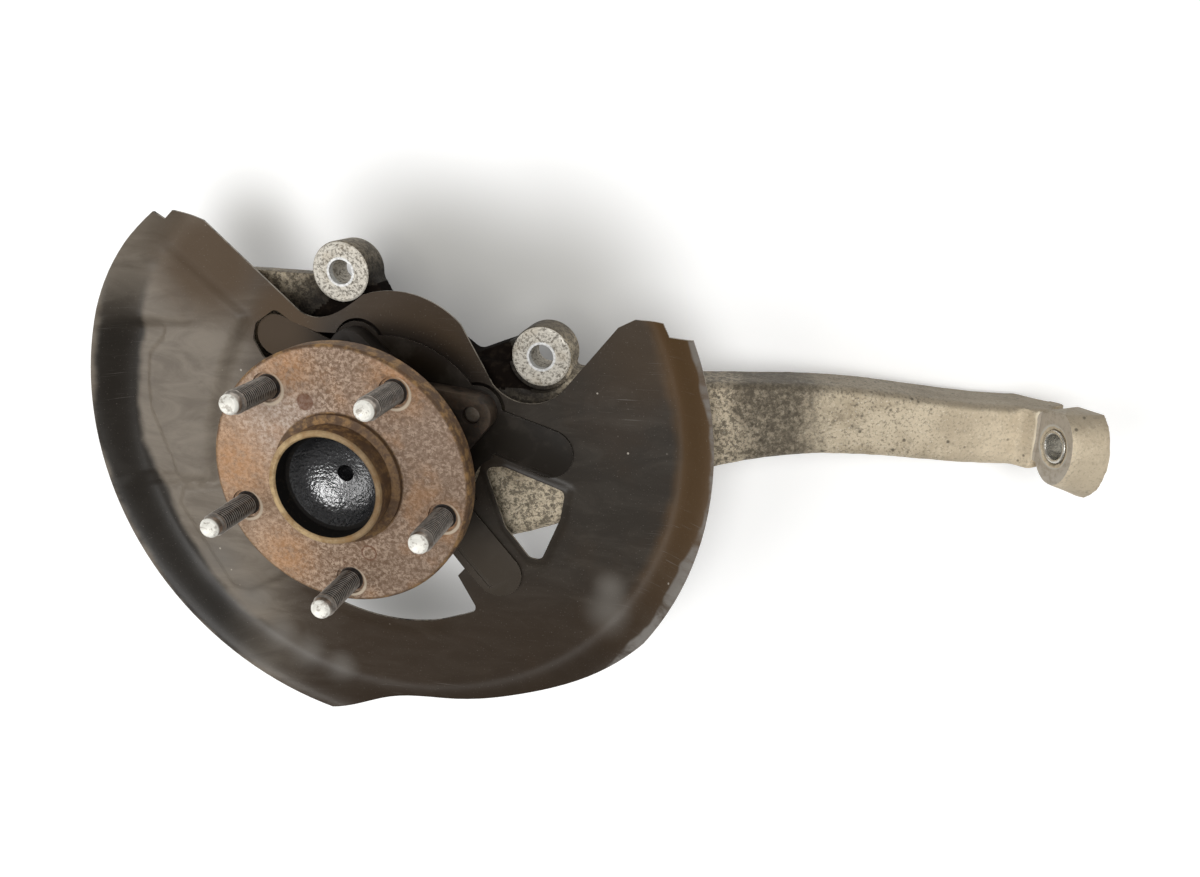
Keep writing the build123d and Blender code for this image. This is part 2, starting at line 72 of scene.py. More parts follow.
PLATE_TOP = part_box("shield_mounting_plate")[1].z
SHEET_TOP = PLATE_TOP - 1.6 * MM
RIM_RADIUS = -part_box("dust_shield")[0].x
RIM_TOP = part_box("dust_shield")[1].z
FLOOR = CAD_BOX[0].z
STUD_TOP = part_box("wheel_stud_1")[1].z
PILOT_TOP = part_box("hub")[1].z
FLANGE_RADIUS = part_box("hub")[1].x
EYE_FACE = Vector((362.2, 7.2, -100.0)) * MM
EYE_AXIS = Vector((-0.946085, 0.0, 0.323917))
EYE_UP = Vector((0.323917, 0.0, 0.946085))
EYE_RIDGE = 13.6 * MM
CREST = (Vector((371.0, 25.0, -124.0)) * MM, Vector((384.0, 27.0, -97.0)) * MM)
EARS = (Vector((-31.0, 92.3, -81.0)) * MM, Vector((85.5, 48.3, -81.0)) * MM)
# Bosses and holes of the casting; EAR_OVER, EYE_LENGTH and LEG_HOLES are in millimetres.
EAR_RADIUS = 17.4 * MM
EAR_CLEARANCE = 19 * MM
EAR_HOLE = 7 * MM
EAR_OVER = 12
EYE_LENGTH = 19.0
EYE_BORE = 9 * MM
BEARING_BORE = 42 * MM
BOLT_HOLE = 5.5 * MM
BOLT_HEAD_SPACE = 11 * MM
BOLT_FACE = -100 * MM
LEG_HOLES = ((-104, -32), (-104, 32))
LEG_HOLE = 6 * MM
LEG_HOLE_DEPTH = 24 * MM
STUDS = range(1, 6)
BOLTS = range(1, 5)

# The casting's skin and stains, and the dirt and painted shade on the webs behind the shield.
SAND_GRAIN = 9 * MM
STAIN_PLACE = 214 * MM
GRIME_AND_SHADE = (0.006, 0.004, 0.003)
GRIME_AND_SHADE_REACH = 86 * MM
GRIME_AND_SHADE_START = 30 * MM

# The shield's pressed fields and windows, and places on it, all in millimetres.
RAISED_FIELD = [
    (-144, 112), (-136, 113), (-84, 68), (-101, 38), (-115, -2),
    (-119, -35), (-174, -36), (-190, 0), (-176, 70),
]
UPPER_FIELD = [(-172, 63), (-172, 76), (-157, 97), (-142, 102), (-119, 77), (-119, 64)]
PAD_FIELD = [
    (-170, 62), (-136, 63), (-137, 55), (-149, 44), (-153, 27),
    (-154, 9), (-146, -20), (-143, -36), (-190, -36), (-190, 40),
]
HUB_FIELD = [(-142, -41), (-113, -37), (-60, -20), (-50, -80), (-106, -109), (-117, -107), (-146, -52)]
LOWER_WINDOW = [(-64, -99), (-36, -113), (-6, -118.5), (22, -117), (46, -108), (31, -70), (-46, -72)]
SIDE_WINDOW = [(55, -14), (66, -12.5), (102, -25.5), (99, -42), (87, -69.5), (80, -68.5), (66, -50)]
# Height of a pressing, its field, and the distances from its edge where its slope starts and ends.
PRESSINGS = (
    (4.0, RAISED_FIELD, -4.0, 4.0),
    (1.8, UPPER_FIELD, -3.5, 3.5),
    (-2.4, PAD_FIELD, -1.2, 1.6),
)
SHEENS = (
    ((-88, -138), 16), ((-70, -150), 17), ((-48, -158), 15), ((127, -100), 20),
    ((128, -84), 14), ((-124, -88), 24), ((-106, -112), 20),
)
SCUFFS = (((136, 28), 4, 20), ((170, -46), 8, 30))
TRIM = 4 * MM
BLANK_DROP = 20 * MM
BLANK_HEIGHT = 60 * MM
BEADS = (((61, -6.0), (94, -16.8)), ((33, -62.5), (55.6, -90.2)))
BEAD_WIDTH = 2.6 * MM
BEAD_HEIGHT = 1.4 * MM

# The hub's bowl, rust and stamped marks.
PILOT_INSIDE = 27 * MM
BOWL_BOTTOM = -30 * MM
KNEE_HEIGHTS = (-8 * MM, -1 * MM)
KNEE_RADII = (12 * MM, 22 * MM)
KNEE_ROUNDING = 3.4 * MM
RUST_BLOOMS = (((-58, 4), 32), ((36, 52), 26), ((-22, 56), 22), ((-34, -46), 24), ((56, -20), 18))
ROUND_MARK = (-14.0, 39.4)
RING_MARK = (12.9, -40.5)

# A stud's stations: radius, and height over its bottom, over the flange or under its end.
STUD_HEAD = ((0.2, 0.0), (8.2, 0.0), (9.0, 0.8))
STUD_NECK = ((9.0, -11.01), (6.6, -11.0), (6.6, -1.7))
STUD_END = ((5.1, 1.3), (4.7, 0.5), (3.9, 0.0), (3.2, 0.15), (2.6, 0.7), (0.2, 0.9))
STUD_SPOKES = 48
THREAD_DROP = 1.6 * MM
THREAD_CORE = 5.5 * MM
RINGS_A_TURN = 8

# Nodes inside the bearing and their finish: name, colour, wear, roughness, metal and grain.
BEARING_INSIDE = (
    (["bearing_inner_ring"], "ground_steel", (0.50, 0.49, 0.47), (0.30, 0.27, 0.23), 0.25, 0.9),
    (
        ["outboard_rollers", "inboard_rollers"],
        "polished_steel", (0.72, 0.72, 0.73), (0.5, 0.5, 0.5), 0.12, 1.0,
    ),
    (["outboard_cage", "inboard_cage"], "cage_polymer", (0.30, 0.22, 0.12), (0.20, 0.14, 0.07), 0.5, 0.0),
    (["outboard_seal"], "seal_rubber", (0.022, 0.021, 0.020), (0.06, 0.05, 0.04), 0.65, 0.0),
    (["encoder_ring"], "encoder_sheet", (0.05, 0.05, 0.05), (0.10, 0.09, 0.08), 0.5, 0.2),
    (["bearing_rear_cap"], "cap_sheet", (0.36, 0.33, 0.28), (0.17, 0.12, 0.08), 0.4, 0.6, 120.0),
)

# Soft shades on the floor: place, inner and outer radius in millimetres, and depth.
CONTACT_SHADES = (
    ((66, 58), 20, 125, 0.70),
    ((-15, 92), 0, 90, 0.70),
    ((-128, 104), 0, 62, 0.62),
    ((-35, -160), 0, 85, 0.85),
)
KEY_PLACE = (0.10, 0.19, 0.98)
SIDE_PLACE = (-0.68, -0.08, 0.71)
CAMERA_PLACE = (0.209585, 0.157687, 0.378800)
CAMERA_AXES = ((0.98114, 0.00007, -0.19332), (-0.06083, 0.94933, -0.30834), (0.18350, 0.31428, 0.93143))


def colour_property(name, description, default):
    """A colour that a user may change."""
    return FloatVectorProperty(
        name=name, description=description, default=default, subtype="COLOR", size=3, min=0.0, max=1.0
    )


def length_property(name, description, default):
    """A size in metres that a user may change."""
    return FloatProperty(name=name, description=description, default=default, unit="LENGTH", precision=5)


class CastingSettings(bpy.types.PropertyGroup):
    """Skin and colours of the knuckle casting."""

    cell: length_property("Skin cell", "Cell size of the casting's skin", 1.5 * MM)
    soften: IntProperty(name="Softening", description="Passes that round the cast edges", default=3, min=0)
    sand_depth: length_property("Sand skin", "Depth of the rough sand-cast skin", 0.5 * MM)
    bare: colour_property("Bare metal", "Weathered light metal", (0.61, 0.52, 0.38))
    tarnish: colour_property("Tarnish", "Duller beige metal", (0.42, 0.345, 0.24))
    dirt: colour_property("Dirt", "Baked-on dirt in the grain", (0.085, 0.07, 0.05))
    machined: colour_property("Machined", "Cut faces and bores", (0.64, 0.60, 0.52))


class ShieldSettings(bpy.types.PropertyGroup):
    """Pressings and paint of the dust shield and its plate."""

    hole_radius: length_property("Inner radius", "Where the pressed sheet starts", 53 * MM)
    rim_width: length_property("Rim width", "Width of the raised rim", 19 * MM)
    ring_step: length_property("Ring step", "Distance between rings of the sheet", 2 * MM)
    spokes: IntProperty(name="Spokes", description="Divisions round the sheet", default=420, min=90)
    sheet: length_property("Sheet", "Thickness of the sheet", 1.4 * MM)
    paint: colour_property("Paint", "Aged dark paint", (0.030, 0.024, 0.018))
    brown: colour_property("Brown film", "Brown road film", (0.050, 0.035, 0.023))
    rust: colour_property("Rim rust", "Rust along the rim", (0.100, 0.058, 0.026))
    worn: colour_property("Worn edge", "Edge of the sheet where the paint is thin", (0.30, 0.26, 0.21))


class HubSettings(bpy.types.PropertyGroup):
    """Turned forms and rust of the wheel hub."""

    edge: length_property("Edge", "Rounding of the turned edges", 0.5 * MM)
    bowl: length_property("Bowl", "Radius of the bowl in the pilot", 24.3 * MM)
    ledge: length_property("Ledge", "Height of the ledge round the bowl", 5.0 * MM)
    steel: colour_property("Steel", "Light grey steel grain", (0.54, 0.405, 0.30))
    film: colour_property("Rust film", "Thin brown rust film", (0.185, 0.108, 0.062))
    orange: colour_property("Orange rust", "Fresh orange rust", (0.50, 0.25, 0.10))
    gold: colour_property("Old varnish", "Golden brown film on the pilot and rim", (0.30, 0.17, 0.062))


class StudSettings(bpy.types.PropertyGroup):
    """Thread and colours of the wheel studs."""

    radius: length_property("Radius", "Outer radius of the thread", 6 * MM)
    pitch: length_property("Pitch", "Thread pitch", 1.5 * MM)
    depth: length_property("Depth", "Thread depth", 0.75 * MM)
    lead: length_property("Lead", "Plain end past the thread", 5.2 * MM)
    steel: colour_property("Thread steel", "Thread crests", (0.29, 0.26, 0.23))
    bright: colour_property("Bright end", "Bare end of the stud", (0.92, 0.90, 0.82))


class StageSettings(bpy.types.PropertyGroup):
    """Floor, lamps and camera."""

    floor_size: length_property("Floor", "Side of the floor", 8.0)
    floor: colour_property("Floor colour", "Pale floor", (0.97, 0.97, 0.96))
    key: FloatProperty(name="Key lamp", description="Strength of the lamp overhead", default=2.05)
    side: FloatProperty(name="Side lamp", description="Strength of the lamp on the left", default=0.75)
    spread: FloatProperty(
        name="Spread", description="Softness of the lamps", default=math.radians(36), subtype="ANGLE"
    )
    fill: FloatProperty(name="Sky", description="Strength of the even sky", default=0.20)
    lens: FloatProperty(name="Lens", description="Focal length", default=26.1, unit="CAMERA")


def only(obj):
    """Selects one object alone and makes it active, in object mode."""
    if bpy.context.object and bpy.context.object.mode != "OBJECT":
        bpy.ops.object.mode_set(mode="OBJECT")
    bpy.ops.object.select_all(action="DESELECT")
    obj.select_set(True)
    bpy.context.view_layer.objects.active = obj


def edit(obj):
    """Opens a piece in edit mode with everything selected."""
    only(obj)
    bpy.ops.object.mode_set(mode="EDIT")
    bpy.ops.mesh.select_mode(type="VERT")
    bpy.ops.mesh.select_all(action="SELECT")


def close_edit():
    bpy.ops.object.mode_set(mode="OBJECT")


def modify(obj, kind, **settings):
    """Adds a modifier and applies it."""
    only(obj)
    modifier = obj.modifiers.new(kind.title(), kind)
    for name, value in settings.items():
        setattr(modifier, name, value)
    bpy.ops.object.modifier_apply(modifier=modifier.name)


def cut(obj, cutter, operation="DIFFERENCE"):
    """Cuts a piece with another one, whose finish goes to the cut faces."""
    modify(obj, "BOOLEAN", object=cutter, operation=operation, solver="EXACT", material_mode="TRANSFER")
    bpy.data.objects.remove(cutter)


def cad_copy(node, name):
    """A copy of a CAD node with its triangles joined up."""
    piece = bpy.data.objects.new(name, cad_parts[node].data.copy())
    bpy.context.scene.collection.objects.link(piece)
    piece.data.materials.clear()
    edit(piece)
    bpy.ops.mesh.customdata_custom_splitnormals_clear()
    bpy.ops.mesh.remove_doubles(threshold=0.002 * MM)
    close_edit()
    return piece


def flat_faces(piece):
    """Joins the triangles of flat faces so that their edges can be rounded."""
    edit(piece)
    bpy.ops.mesh.dissolve_limited(angle_limit=math.radians(0.6))
    close_edit()


def turned(name, outline, spokes):
    """A turned piece about the wheel axis, raised ring by ring through (radius, height) stations."""
    (radius, height), *rest = outline
    bpy.ops.mesh.primitive_circle_add(vertices=spokes, radius=radius, location=(0, 0, 0))
    piece = bpy.context.object
    piece.name = name
    edit(piece)
    bpy.ops.transform.translate(value=(0, 0, height))
    for next_radius, next_height in rest:
        rise = (0, 0, next_height - height)
        bpy.ops.mesh.extrude_region_move(TRANSFORM_OT_translate={"value": rise})
        scale = next_radius / radius
        bpy.ops.transform.resize(value=(scale, scale, 1), center_override=(0, 0, next_height))
        radius, height = next_radius, next_height
    close_edit()
    return piece


def select_only(piece, kind, wanted):
    """Opens a piece in edit mode with only the wanted edges or faces selected."""
    edit(piece)
    bpy.ops.mesh.select_mode(type=kind)
    bpy.ops.mesh.select_all(action="DESELECT")
    close_edit()
    for part in piece.data.edges if kind == "EDGE" else piece.data.polygons:
        part.select = wanted(part)
    bpy.ops.object.mode_set(mode="EDIT")


def bevel(piece, width, segments, angle=40, **settings):
    """Rounds the edges that are sharper than an angle in degrees."""
    limit = {"limit_method": "ANGLE", "angle_limit": math.radians(angle)}
    modify(piece, "BEVEL", width=width, segments=segments, **limit, **settings)


def as_cutter(piece, finish):
    """Fixes a new piece where it stands and gives it its finish."""
    bpy.ops.object.transform_apply(location=True, rotation=True, scale=True)
    piece.data.materials.append(finish)
    return piece


def drill(radius, start, end, finish, spokes=72):
    """A round cutter between two points."""
    start, end = Vector(start), Vector(end)
    along = end - start
    bpy.ops.mesh.primitive_cone_add(
        vertices=spokes,
        radius1=radius,
        radius2=radius,
        depth=along.length,
        location=(start + end) / 2,
        rotation=along.to_track_quat("Z", "Y").to_euler(),
    )
    return as_cutter(bpy.context.object, finish)


def bore(radius, place, low, high, finish, spokes=72):
    """A round cutter along the wheel axis."""
    return drill(radius, (*place, low), (*place, high), finish, spokes)


def lift(point, height):
    """A point moved along the wheel axis by a height in millimetres."""
    return point + Vector((0, 0, height * MM))


def seat(node):
    """Middle of a round CAD node, seen along the wheel axis."""
    low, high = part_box(node)
    middle = (low + high) / 2
    return Vector((middle.x, middle.y, 0))


def turn_to(first, second, third):
    """The turn that brings the x, y and z axes onto three directions."""
    return Matrix((first, second, third)).transposed().to_euler()


def settle(piece, nodes, body, angle=32):
    """Smooths a finished piece, stands it in for its CAD nodes and lets it ride on its body."""
    only(piece)
    bpy.ops.object.shade_smooth_by_angle(angle=math.radians(angle))
    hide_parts(*nodes)
    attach(piece, body)


def ease(value, low, high):
    """A smooth step from 0 at low to 1 at high."""
    share = min(max((value - low) / (high - low), 0.0), 1.0)
    return share * share * (3 - 2 * share)


def inside_distance(x, y, corners):
    """Distance to the edge of a flat outline, positive inside it."""
    nearest, inside = 1e9, False
    for (ax, ay), (bx, by) in zip(corners, corners[1:] + corners[:1]):
        ex, ey = bx - ax, by - ay
        share = min(max(((x - ax) * ex + (y - ay) * ey) / (ex * ex + ey * ey), 0.0), 1.0)
        nearest = min(nearest, math.hypot(x - ax - share * ex, y - ay - share * ey))
        if (ay > y) != (by > y) and x < ax + (y - ay) / (by - ay) * ex:
            inside = not inside
    return nearest if inside else -nearest


class Finish:
    """A procedural finish on Object coordinates, built up coat by coat over its base colour."""

    def __init__(self, name, base, roughness=0.5, metallic=0.0, gloss=0.5):
        self.material = bpy.data.materials.new(name)
        self.material.use_nodes = True
        self.tree = self.material.node_tree
        self.shader = self.tree.nodes["Principled BSDF"]
        self.set("Roughness", roughness)
        self.set("Metallic", metallic)
        self.set("Specular IOR Level", gloss)
        coordinates = self.node("ShaderNodeTexCoord")
        self.place = coordinates.outputs["Object"]
        self.facing = coordinates.outputs["Normal"]
        self.colour = base
        self.normal = None

    def node(self, kind, inputs=(), **settings):
        node = self.tree.nodes.new(kind)
        for name, value in settings.items():
            setattr(node, name, value)
        for name, value in dict(inputs).items():
            self.put(node.inputs[name], value)
        return node

    def put(self, socket, value):
        if isinstance(value, bpy.types.NodeSocket):
            self.tree.links.new(value, socket)
        elif socket.type == "RGBA":
            socket.default_value = (*value, 1.0)
        else:
            socket.default_value = value

    def set(self, name, value):
        """Sets one of the shader's own inputs."""
        self.put(self.shader.inputs[name], value)

    def axes(self, vector=None):
        split = self.node("ShaderNodeSeparateXYZ", {"Vector": vector or self.place})
        return split.outputs["X"], split.outputs["Y"], split.outputs["Z"]

    def stretched(self, turn, scale):
        """Coordinates turned about the wheel axis and stretched, for streaks."""
        rotation = (0, 0, math.radians(turn))
        inputs = {"Vector": self.place, "Rotation": rotation, "Scale": scale}
        return self.node("ShaderNodeMapping", inputs).outputs["Vector"]

    def noise(self, scale, detail=3.0, roughness=0.55, distortion=0.0, place=None):
        grain = {"Scale": scale, "Detail": detail, "Roughness": roughness, "Distortion": distortion}
        return self.node("ShaderNodeTexNoise", {"Vector": place or self.place, **grain}).outputs[0]

    def cells(self, scale):
        """Distance to the nearest of many scattered points."""
        inputs = {"Vector": self.place, "Scale": scale}
        return self.node("ShaderNodeTexVoronoi", inputs).outputs["Distance"]

    def maths(self, operation, first, second=0.0):
        return self.node("ShaderNodeMath", {0: first, 1: second}, operation=operation).outputs[0]

    def minus(self, first, second):
        return self.maths("SUBTRACT", first, second)

    def times(self, first, *others):
        """The product of two or more values."""
        for other in others:
            first = self.maths("MULTIPLY", first, other)
        return first

    def most(self, first, *others):
        """The greatest of two or more values."""
        for other in others:
            first = self.maths("MAXIMUM", first, other)
        return first

    def step(self, value, low, high):
        """0 at low and 1 at high; low may be the greater one."""
        inputs = {"Value": value, "From Min": low, "From Max": high}
        return self.node("ShaderNodeMapRange", inputs, interpolation_type="SMOOTHSTEP").outputs["Result"]

    def ramp(self, length, low, high):
        """A step between two lengths in millimetres."""
        return self.step(length, low * MM, high * MM)

    def patches(self, low, high, *grain):
        """A step of a noise: soft patches where the noise is high."""
        return self.step(self.noise(*grain), low, high)

    def ragged(self, length, noise, depth):
        """A length made uneven by a noise, to a depth in millimetres."""
        return self.maths("ADD", length, self.times(self.minus(noise, 0.5), depth * MM))

    def radius(self):
        """Distance from the wheel axis."""
        x, y, _ = self.axes()
        square = self.maths("ADD", self.times(x, x), self.times(y, y))
        return self.maths("SQRT", square)

    def along(self, direction):
        """Distance along a direction from the origin."""
        inputs = {0: self.place, 1: direction}
        return self.node("ShaderNodeVectorMath", inputs, operation="DOT_PRODUCT").outputs["Value"]

    def near(self, point, inner, outer):
        """1 within the inner distance of a point, fading out to the outer one, both in millimetres."""
        inputs = {0: self.place, 1: point}
        apart = self.node("ShaderNodeVectorMath", inputs, operation="DISTANCE").outputs["Value"]
        return self.ramp(apart, outer, inner)

    def spot(self, place, inner, outer, height=0.0):
        """The same about a place in millimetres, at a height in metres."""
        return self.near((place[0] * MM, place[1] * MM, height), inner, outer)

    def layer(self, amount, under, over):
        """One colour laid over another."""
        inputs = {0: amount, 6: under, 7: over}
        return self.node("ShaderNodeMix", inputs, data_type="RGBA").outputs[2]

    def coat(self, amount, over, share=1.0):
        """Lays a share of a colour over the coats before it."""
        if share < 1.0:
            amount = self.times(amount, share)
        self.colour = self.layer(amount, self.colour, over)
        self.set("Base Color", self.colour)

    def span(self, share, low, high):
        """A value between two limits."""
        inputs = {"Value": share, "To Min": low, "To Max": high}
        return self.node("ShaderNodeMapRange", inputs).outputs["Result"]

    def rough(self, share, low, high):
        """Roughness between two limits."""
        self.set("Roughness", self.span(share, low, high))

    def relief(self, height, depth, strength):
        """Fine relief, its depth in millimetres, on top of what is there."""
        bump = self.node("ShaderNodeBump", {"Height": height, "Distance": depth * MM, "Strength": strength})
        if self.normal:
            self.put(bump.inputs["Normal"], self.normal)
        self.normal = bump.outputs["Normal"]
        self.set("Normal", self.normal)


def cast_finish(settings):
    """Weathered sand-cast metal with dirt in its grain and a dark stain near the shield, darker towards the
    bottom, with painted shade on the +y walls and the webs behind the shield and painted highlights on the
    far arm and the eye's ridge.
    """
    finish = Finish("cast_aluminium", settings.bare, roughness=0.55, metallic=0.2, gloss=0.2)
    coat, ramp, step, times, patches = finish.coat, finish.ramp, finish.step, finish.times, finish.patches
    x, y, z = finish.axes()
    _, side, _ = finish.axes(finish.facing)
    broad = finish.noise(38.0, 4.0, 0.6)
    grain = finish.noise(640.0, 3.0, 0.7)
    coat(step(broad, 0.40, 0.66), settings.tarnish)
    coat(step(grain, 0.50, 0.66), settings.dirt, 0.62)
    coat(patches(0.52, 0.70, 150.0, 4.0, 0.65), settings.dirt, 0.36)
    coat(patches(0.62, 0.70, 900.0, 2.0, 0.6), (0.85, 0.80, 0.70), 0.5)
    # Painted highlight: the far part of the arm is painted lighter.
    coat(ramp(x, 270, 340), (0.80, 0.68, 0.50), 0.4)
    coat(ramp(x, 366, 374), settings.tarnish, 0.35)
    ragged = finish.ragged(x, broad, 60)
    apart = finish.maths("ABSOLUTE", finish.minus(ragged, STAIN_PLACE))
    speckle = patches(0.40, 0.60, 260.0, 5.0, 0.8)
    stain = times(ramp(apart, 30, 8), finish.span(speckle, 0.62, 1.0))
    coat(stain, settings.dirt, 0.92)
    coarse = patches(0.47, 0.56, 330.0, 4.0, 0.8)
    coat(times(ramp(ragged, 262, 200), coarse), settings.dirt, 0.75)
    # Walls facing +y are darkened with the dirt colour: partly dirt, partly painted shade.
    coat(step(side, 0.25, 0.85), settings.dirt, 0.55)
    # Dirt and painted shade: the webs near the hub, behind the shield, are painted near black.
    grime_and_shade = times(ramp(finish.radius(), 122, 90), ramp(y, 0, 30))
    coat(grime_and_shade, GRIME_AND_SHADE, 0.95)
    # Darker towards the bottom.
    coat(ramp(z, -112, -150), settings.dirt, 0.25)
    coat(step(finish.cells(120.0), 0.16, 0.06), (0.05, 0.042, 0.03), 0.7)
    # Painted highlight along the crest of the ridge before the eye's face.
    across = finish.minus(finish.along(EYE_UP), EYE_FACE.dot(EYE_UP) - EYE_RIDGE)
    before = finish.minus(finish.along(EYE_AXIS), EYE_FACE.dot(EYE_AXIS))
    ridge_highlight = ramp(finish.maths("ABSOLUTE", across), 1.7, 0.6)
    coat(times(ridge_highlight, ramp(before, 0.4, 1.4)), (0.86, 0.77, 0.60), 0.85)
    finish.rough(grain, 0.42, 0.72)
    finish.relief(grain, 0.5, 0.55)
    finish.relief(finish.noise(170.0, 3.0, 0.6), 1.2, 0.4)
    return finish.material


def worn_finish(name, base, mark, share, limits, grain, span=None, relief=None, **shader):
    """A colour with one kind of wear, which may set the roughness and have a relief."""
    finish = Finish(name, base, **shader)
    worn = finish.patches(*limits, *grain)
    finish.coat(worn, mark, share)
    if span:
        finish.rough(worn, *span)
    if relief:
        finish.relief(worn, *relief)
    return finish


def grime_and_shade_finish():
    """Black baked dirt and painted shade on the casting's webs behind the shield."""
    look = ((0.014, 0.010, 0.007), 1.0, (0.50, 0.72), (260.0, 3.0))
    return worn_finish("baked_grime_and_shade", GRIME_AND_SHADE, *look, roughness=0.9, gloss=0.05).material


def machined_finish(settings):
    """Cut faces of the casting, bright with pits and small stains."""
    look = ((0.14, 0.115, 0.085), 0.85, (0.49, 0.62), (620.0, 5.0, 0.8), (0.48, 0.75), (-0.25, 0.6))
    finish = worn_finish("machined_aluminium", settings.machined, *look, roughness=0.5, metallic=0.3)
    finish.coat(finish.patches(0.50, 0.72, 90.0, 3.0), settings.tarnish, 0.35)
    for ear in EARS:
        finish.coat(finish.near(ear, 7.9, 8.7), (0.84, 0.84, 0.82))
    return finish.material


def faced_finish():
    """The dull faced end of the eye, with a paler ring where the ball joint sat."""
    look = ((0.33, 0.28, 0.215), 0.7, (0.42, 0.68), (300.0, 4.0, 0.7), (0.42, 0.6))
    finish = worn_finish("faced_aluminium", (0.47, 0.42, 0.35), *look, roughness=0.5, metallic=0.3)
    finish.coat(finish.near(EYE_FACE, 11.5, 12.6), (0.55, 0.53, 0.48))
    return finish.material


def bush_finish():
    """Turned steel, worn in small patches."""
    look = ((0.20, 0.18, 0.15), 0.6, (0.50, 0.70), (420.0, 4.0, 0.7), (0.26, 0.55))
    return worn_finish("bush_steel", (0.60, 0.58, 0.53), *look, roughness=0.3, metallic=0.85).material


def shield_finish(settings):
    """Aged dark paint on pressed sheet, with road film, rim rust, dust and scratches, painted sheens, a
    left side made paler partly by painted sheen, and painted shade on the left rim and behind the hub.
    """
    finish = Finish("shield_paint", settings.paint, roughness=0.45, gloss=0.24)
    coat, ramp, step, times, spot = finish.coat, finish.ramp, finish.step, finish.times, finish.spot
    x, y, _ = finish.axes()
    radius = finish.radius()
    broad = finish.noise(14.0, 4.0, 0.6)
    smear = finish.noise(1.0, 5.0, 0.65, 0.8, finish.stretched(38, (26.0, 75.0, 40.0)))
    left = ramp(x, 60, -110)
    right = ramp(x, -20, 110)
    # Lighter towards the left, in brown film, pale film and streaks: partly road dust, partly a painted
    # sheen of the side lamp.
    coat(left, settings.brown)
    coat(step(broad, 0.46, 0.64), (0.046, 0.032, 0.021), 0.5)
    film = times(step(smear, 0.40, 0.76), finish.span(left, 0.14, 0.34))
    coat(film, (0.150, 0.130, 0.105))
    streaks = finish.span(step(smear, 0.30, 0.70), 0.55, 0.95)
    coat(times(ramp(x, -60, -112), streaks), (0.228, 0.194, 0.154))
    low = times(ramp(y, -60, -120), ramp(x, -90, -30))
    coat(low, (0.036, 0.022, 0.012), 0.6)
    coat(spot((146, 62), 8, 52, SHEET_TOP), (0.048, 0.029, 0.013), 0.75)
    filmed = spot((-104, 98), 14, 46, SHEET_TOP)
    filmed = finish.most(filmed, spot((-62, 68), 8, 34, SHEET_TOP))
    coat(filmed, (0.082, 0.052, 0.028), 0.92)
    coat(spot((16, 72), 22, 58, SHEET_TOP), (0.044, 0.026, 0.012), 0.85)
    # Painted shade: near black on the sheet behind the hub, under the flange.
    shade_behind_hub = times(ramp(radius, 74, 58), ramp(y, 14, 40), ramp(x, -60, -20))
    coat(shade_behind_hub, (0.006, 0.0035, 0.002), 0.92)
    ragged = finish.ragged(radius, broad, 20)
    rust = times(ramp(ragged, 160, 169), ramp(y, -140, -20), right)
    coat(rust, settings.rust, 0.85)
    # Painted shade: a dark band on the inner slope of the left rim.
    crease = times(ramp(ragged, 160, 166), ramp(ragged, 187, 183))
    crease = times(crease, ramp(x, -70, -130), ramp(y, 112, 52))
    coat(crease, (0.015, 0.012, 0.009), 0.95)
    lip = step(ragged, RIM_RADIUS - 3.2 * MM, RIM_RADIUS - 1.4 * MM)
    lip = times(lip, finish.span(right, 0.10, 0.75), step(smear, 0.30, 0.60))
    coat(lip, (0.22, 0.205, 0.185))
    scratch = finish.noise(1.0, 2.0, 0.5, 0.3, finish.stretched(-62, (30.0, 1500.0, 60.0)))
    scuffed = times(finish.patches(0.52, 0.66, 16.0, 2.0), 0.5)
    for place, inner, outer in SCUFFS:
        scuffed = finish.most(scuffed, spot(place, inner, outer, SHEET_TOP))
    coat(times(step(scratch, 0.64, 0.74), scuffed), (0.24, 0.22, 0.20), 0.5)
    for place, reach in SHEENS:
        coat(spot(place, 0, reach, SHEET_TOP), (0.170, 0.155, 0.136), 0.6)
    coat(finish.patches(0.66, 0.76, 1150.0, 2.0, 0.5), (0.32, 0.29, 0.25), 0.22)
    specks = step(finish.cells(95.0), 0.075, 0.045)
    rare = finish.patches(0.60, 0.66, 24.0, 1.0)
    coat(times(specks, rare), (0.50, 0.45, 0.38), 0.8)
    dull = times(filmed, 0.22)
    finish.set("Roughness", finish.maths("ADD", finish.span(smear, 0.34, 0.46), dull))
    finish.relief(finish.noise(900.0, 2.0), 0.12, 0.25)
    finish.relief(finish.noise(34.0, 3.0), 0.9, 0.3)
    return finish.material


def edge_finish(settings):
    """Edge of a sheet, where the paint is thin and scuffed."""
    look = (settings.worn, 1.0, (0.32, 0.54), (140.0, 4.0, 0.7))
    return worn_finish("sheet_edge", settings.paint, *look, roughness=0.5, metallic=0.2).material


def plate_finish():
    """Dark paint of the mounting plate, blacker on its upper tongue where painted shade lies behind the
    hub.
    """
    finish = Finish("plate_paint", (0.016, 0.0125, 0.009), roughness=0.5, gloss=0.15)
    x, y, _ = finish.axes()
    cloud = finish.noise(60.0, 4.0, 0.6)
    finish.coat(finish.ramp(y, -30, -66), (0.048, 0.038, 0.028))
    finish.coat(finish.ramp(x, -30, -60), (0.068, 0.046, 0.028), 0.9)
    # Painted shade: blacker where the plate lies behind the hub.
    shade_behind_hub = finish.times(finish.ramp(y, 30, 46), finish.ramp(x, -50, -30))
    finish.coat(shade_behind_hub, (0.012, 0.007, 0.003), 0.95)
    finish.coat(finish.step(cloud, 0.48, 0.70), (0.06, 0.05, 0.04), 0.35)
    finish.rough(cloud, 0.42, 0.62)
    finish.relief(finish.noise(700.0, 2.0), 0.12, 0.25)
    return finish.material


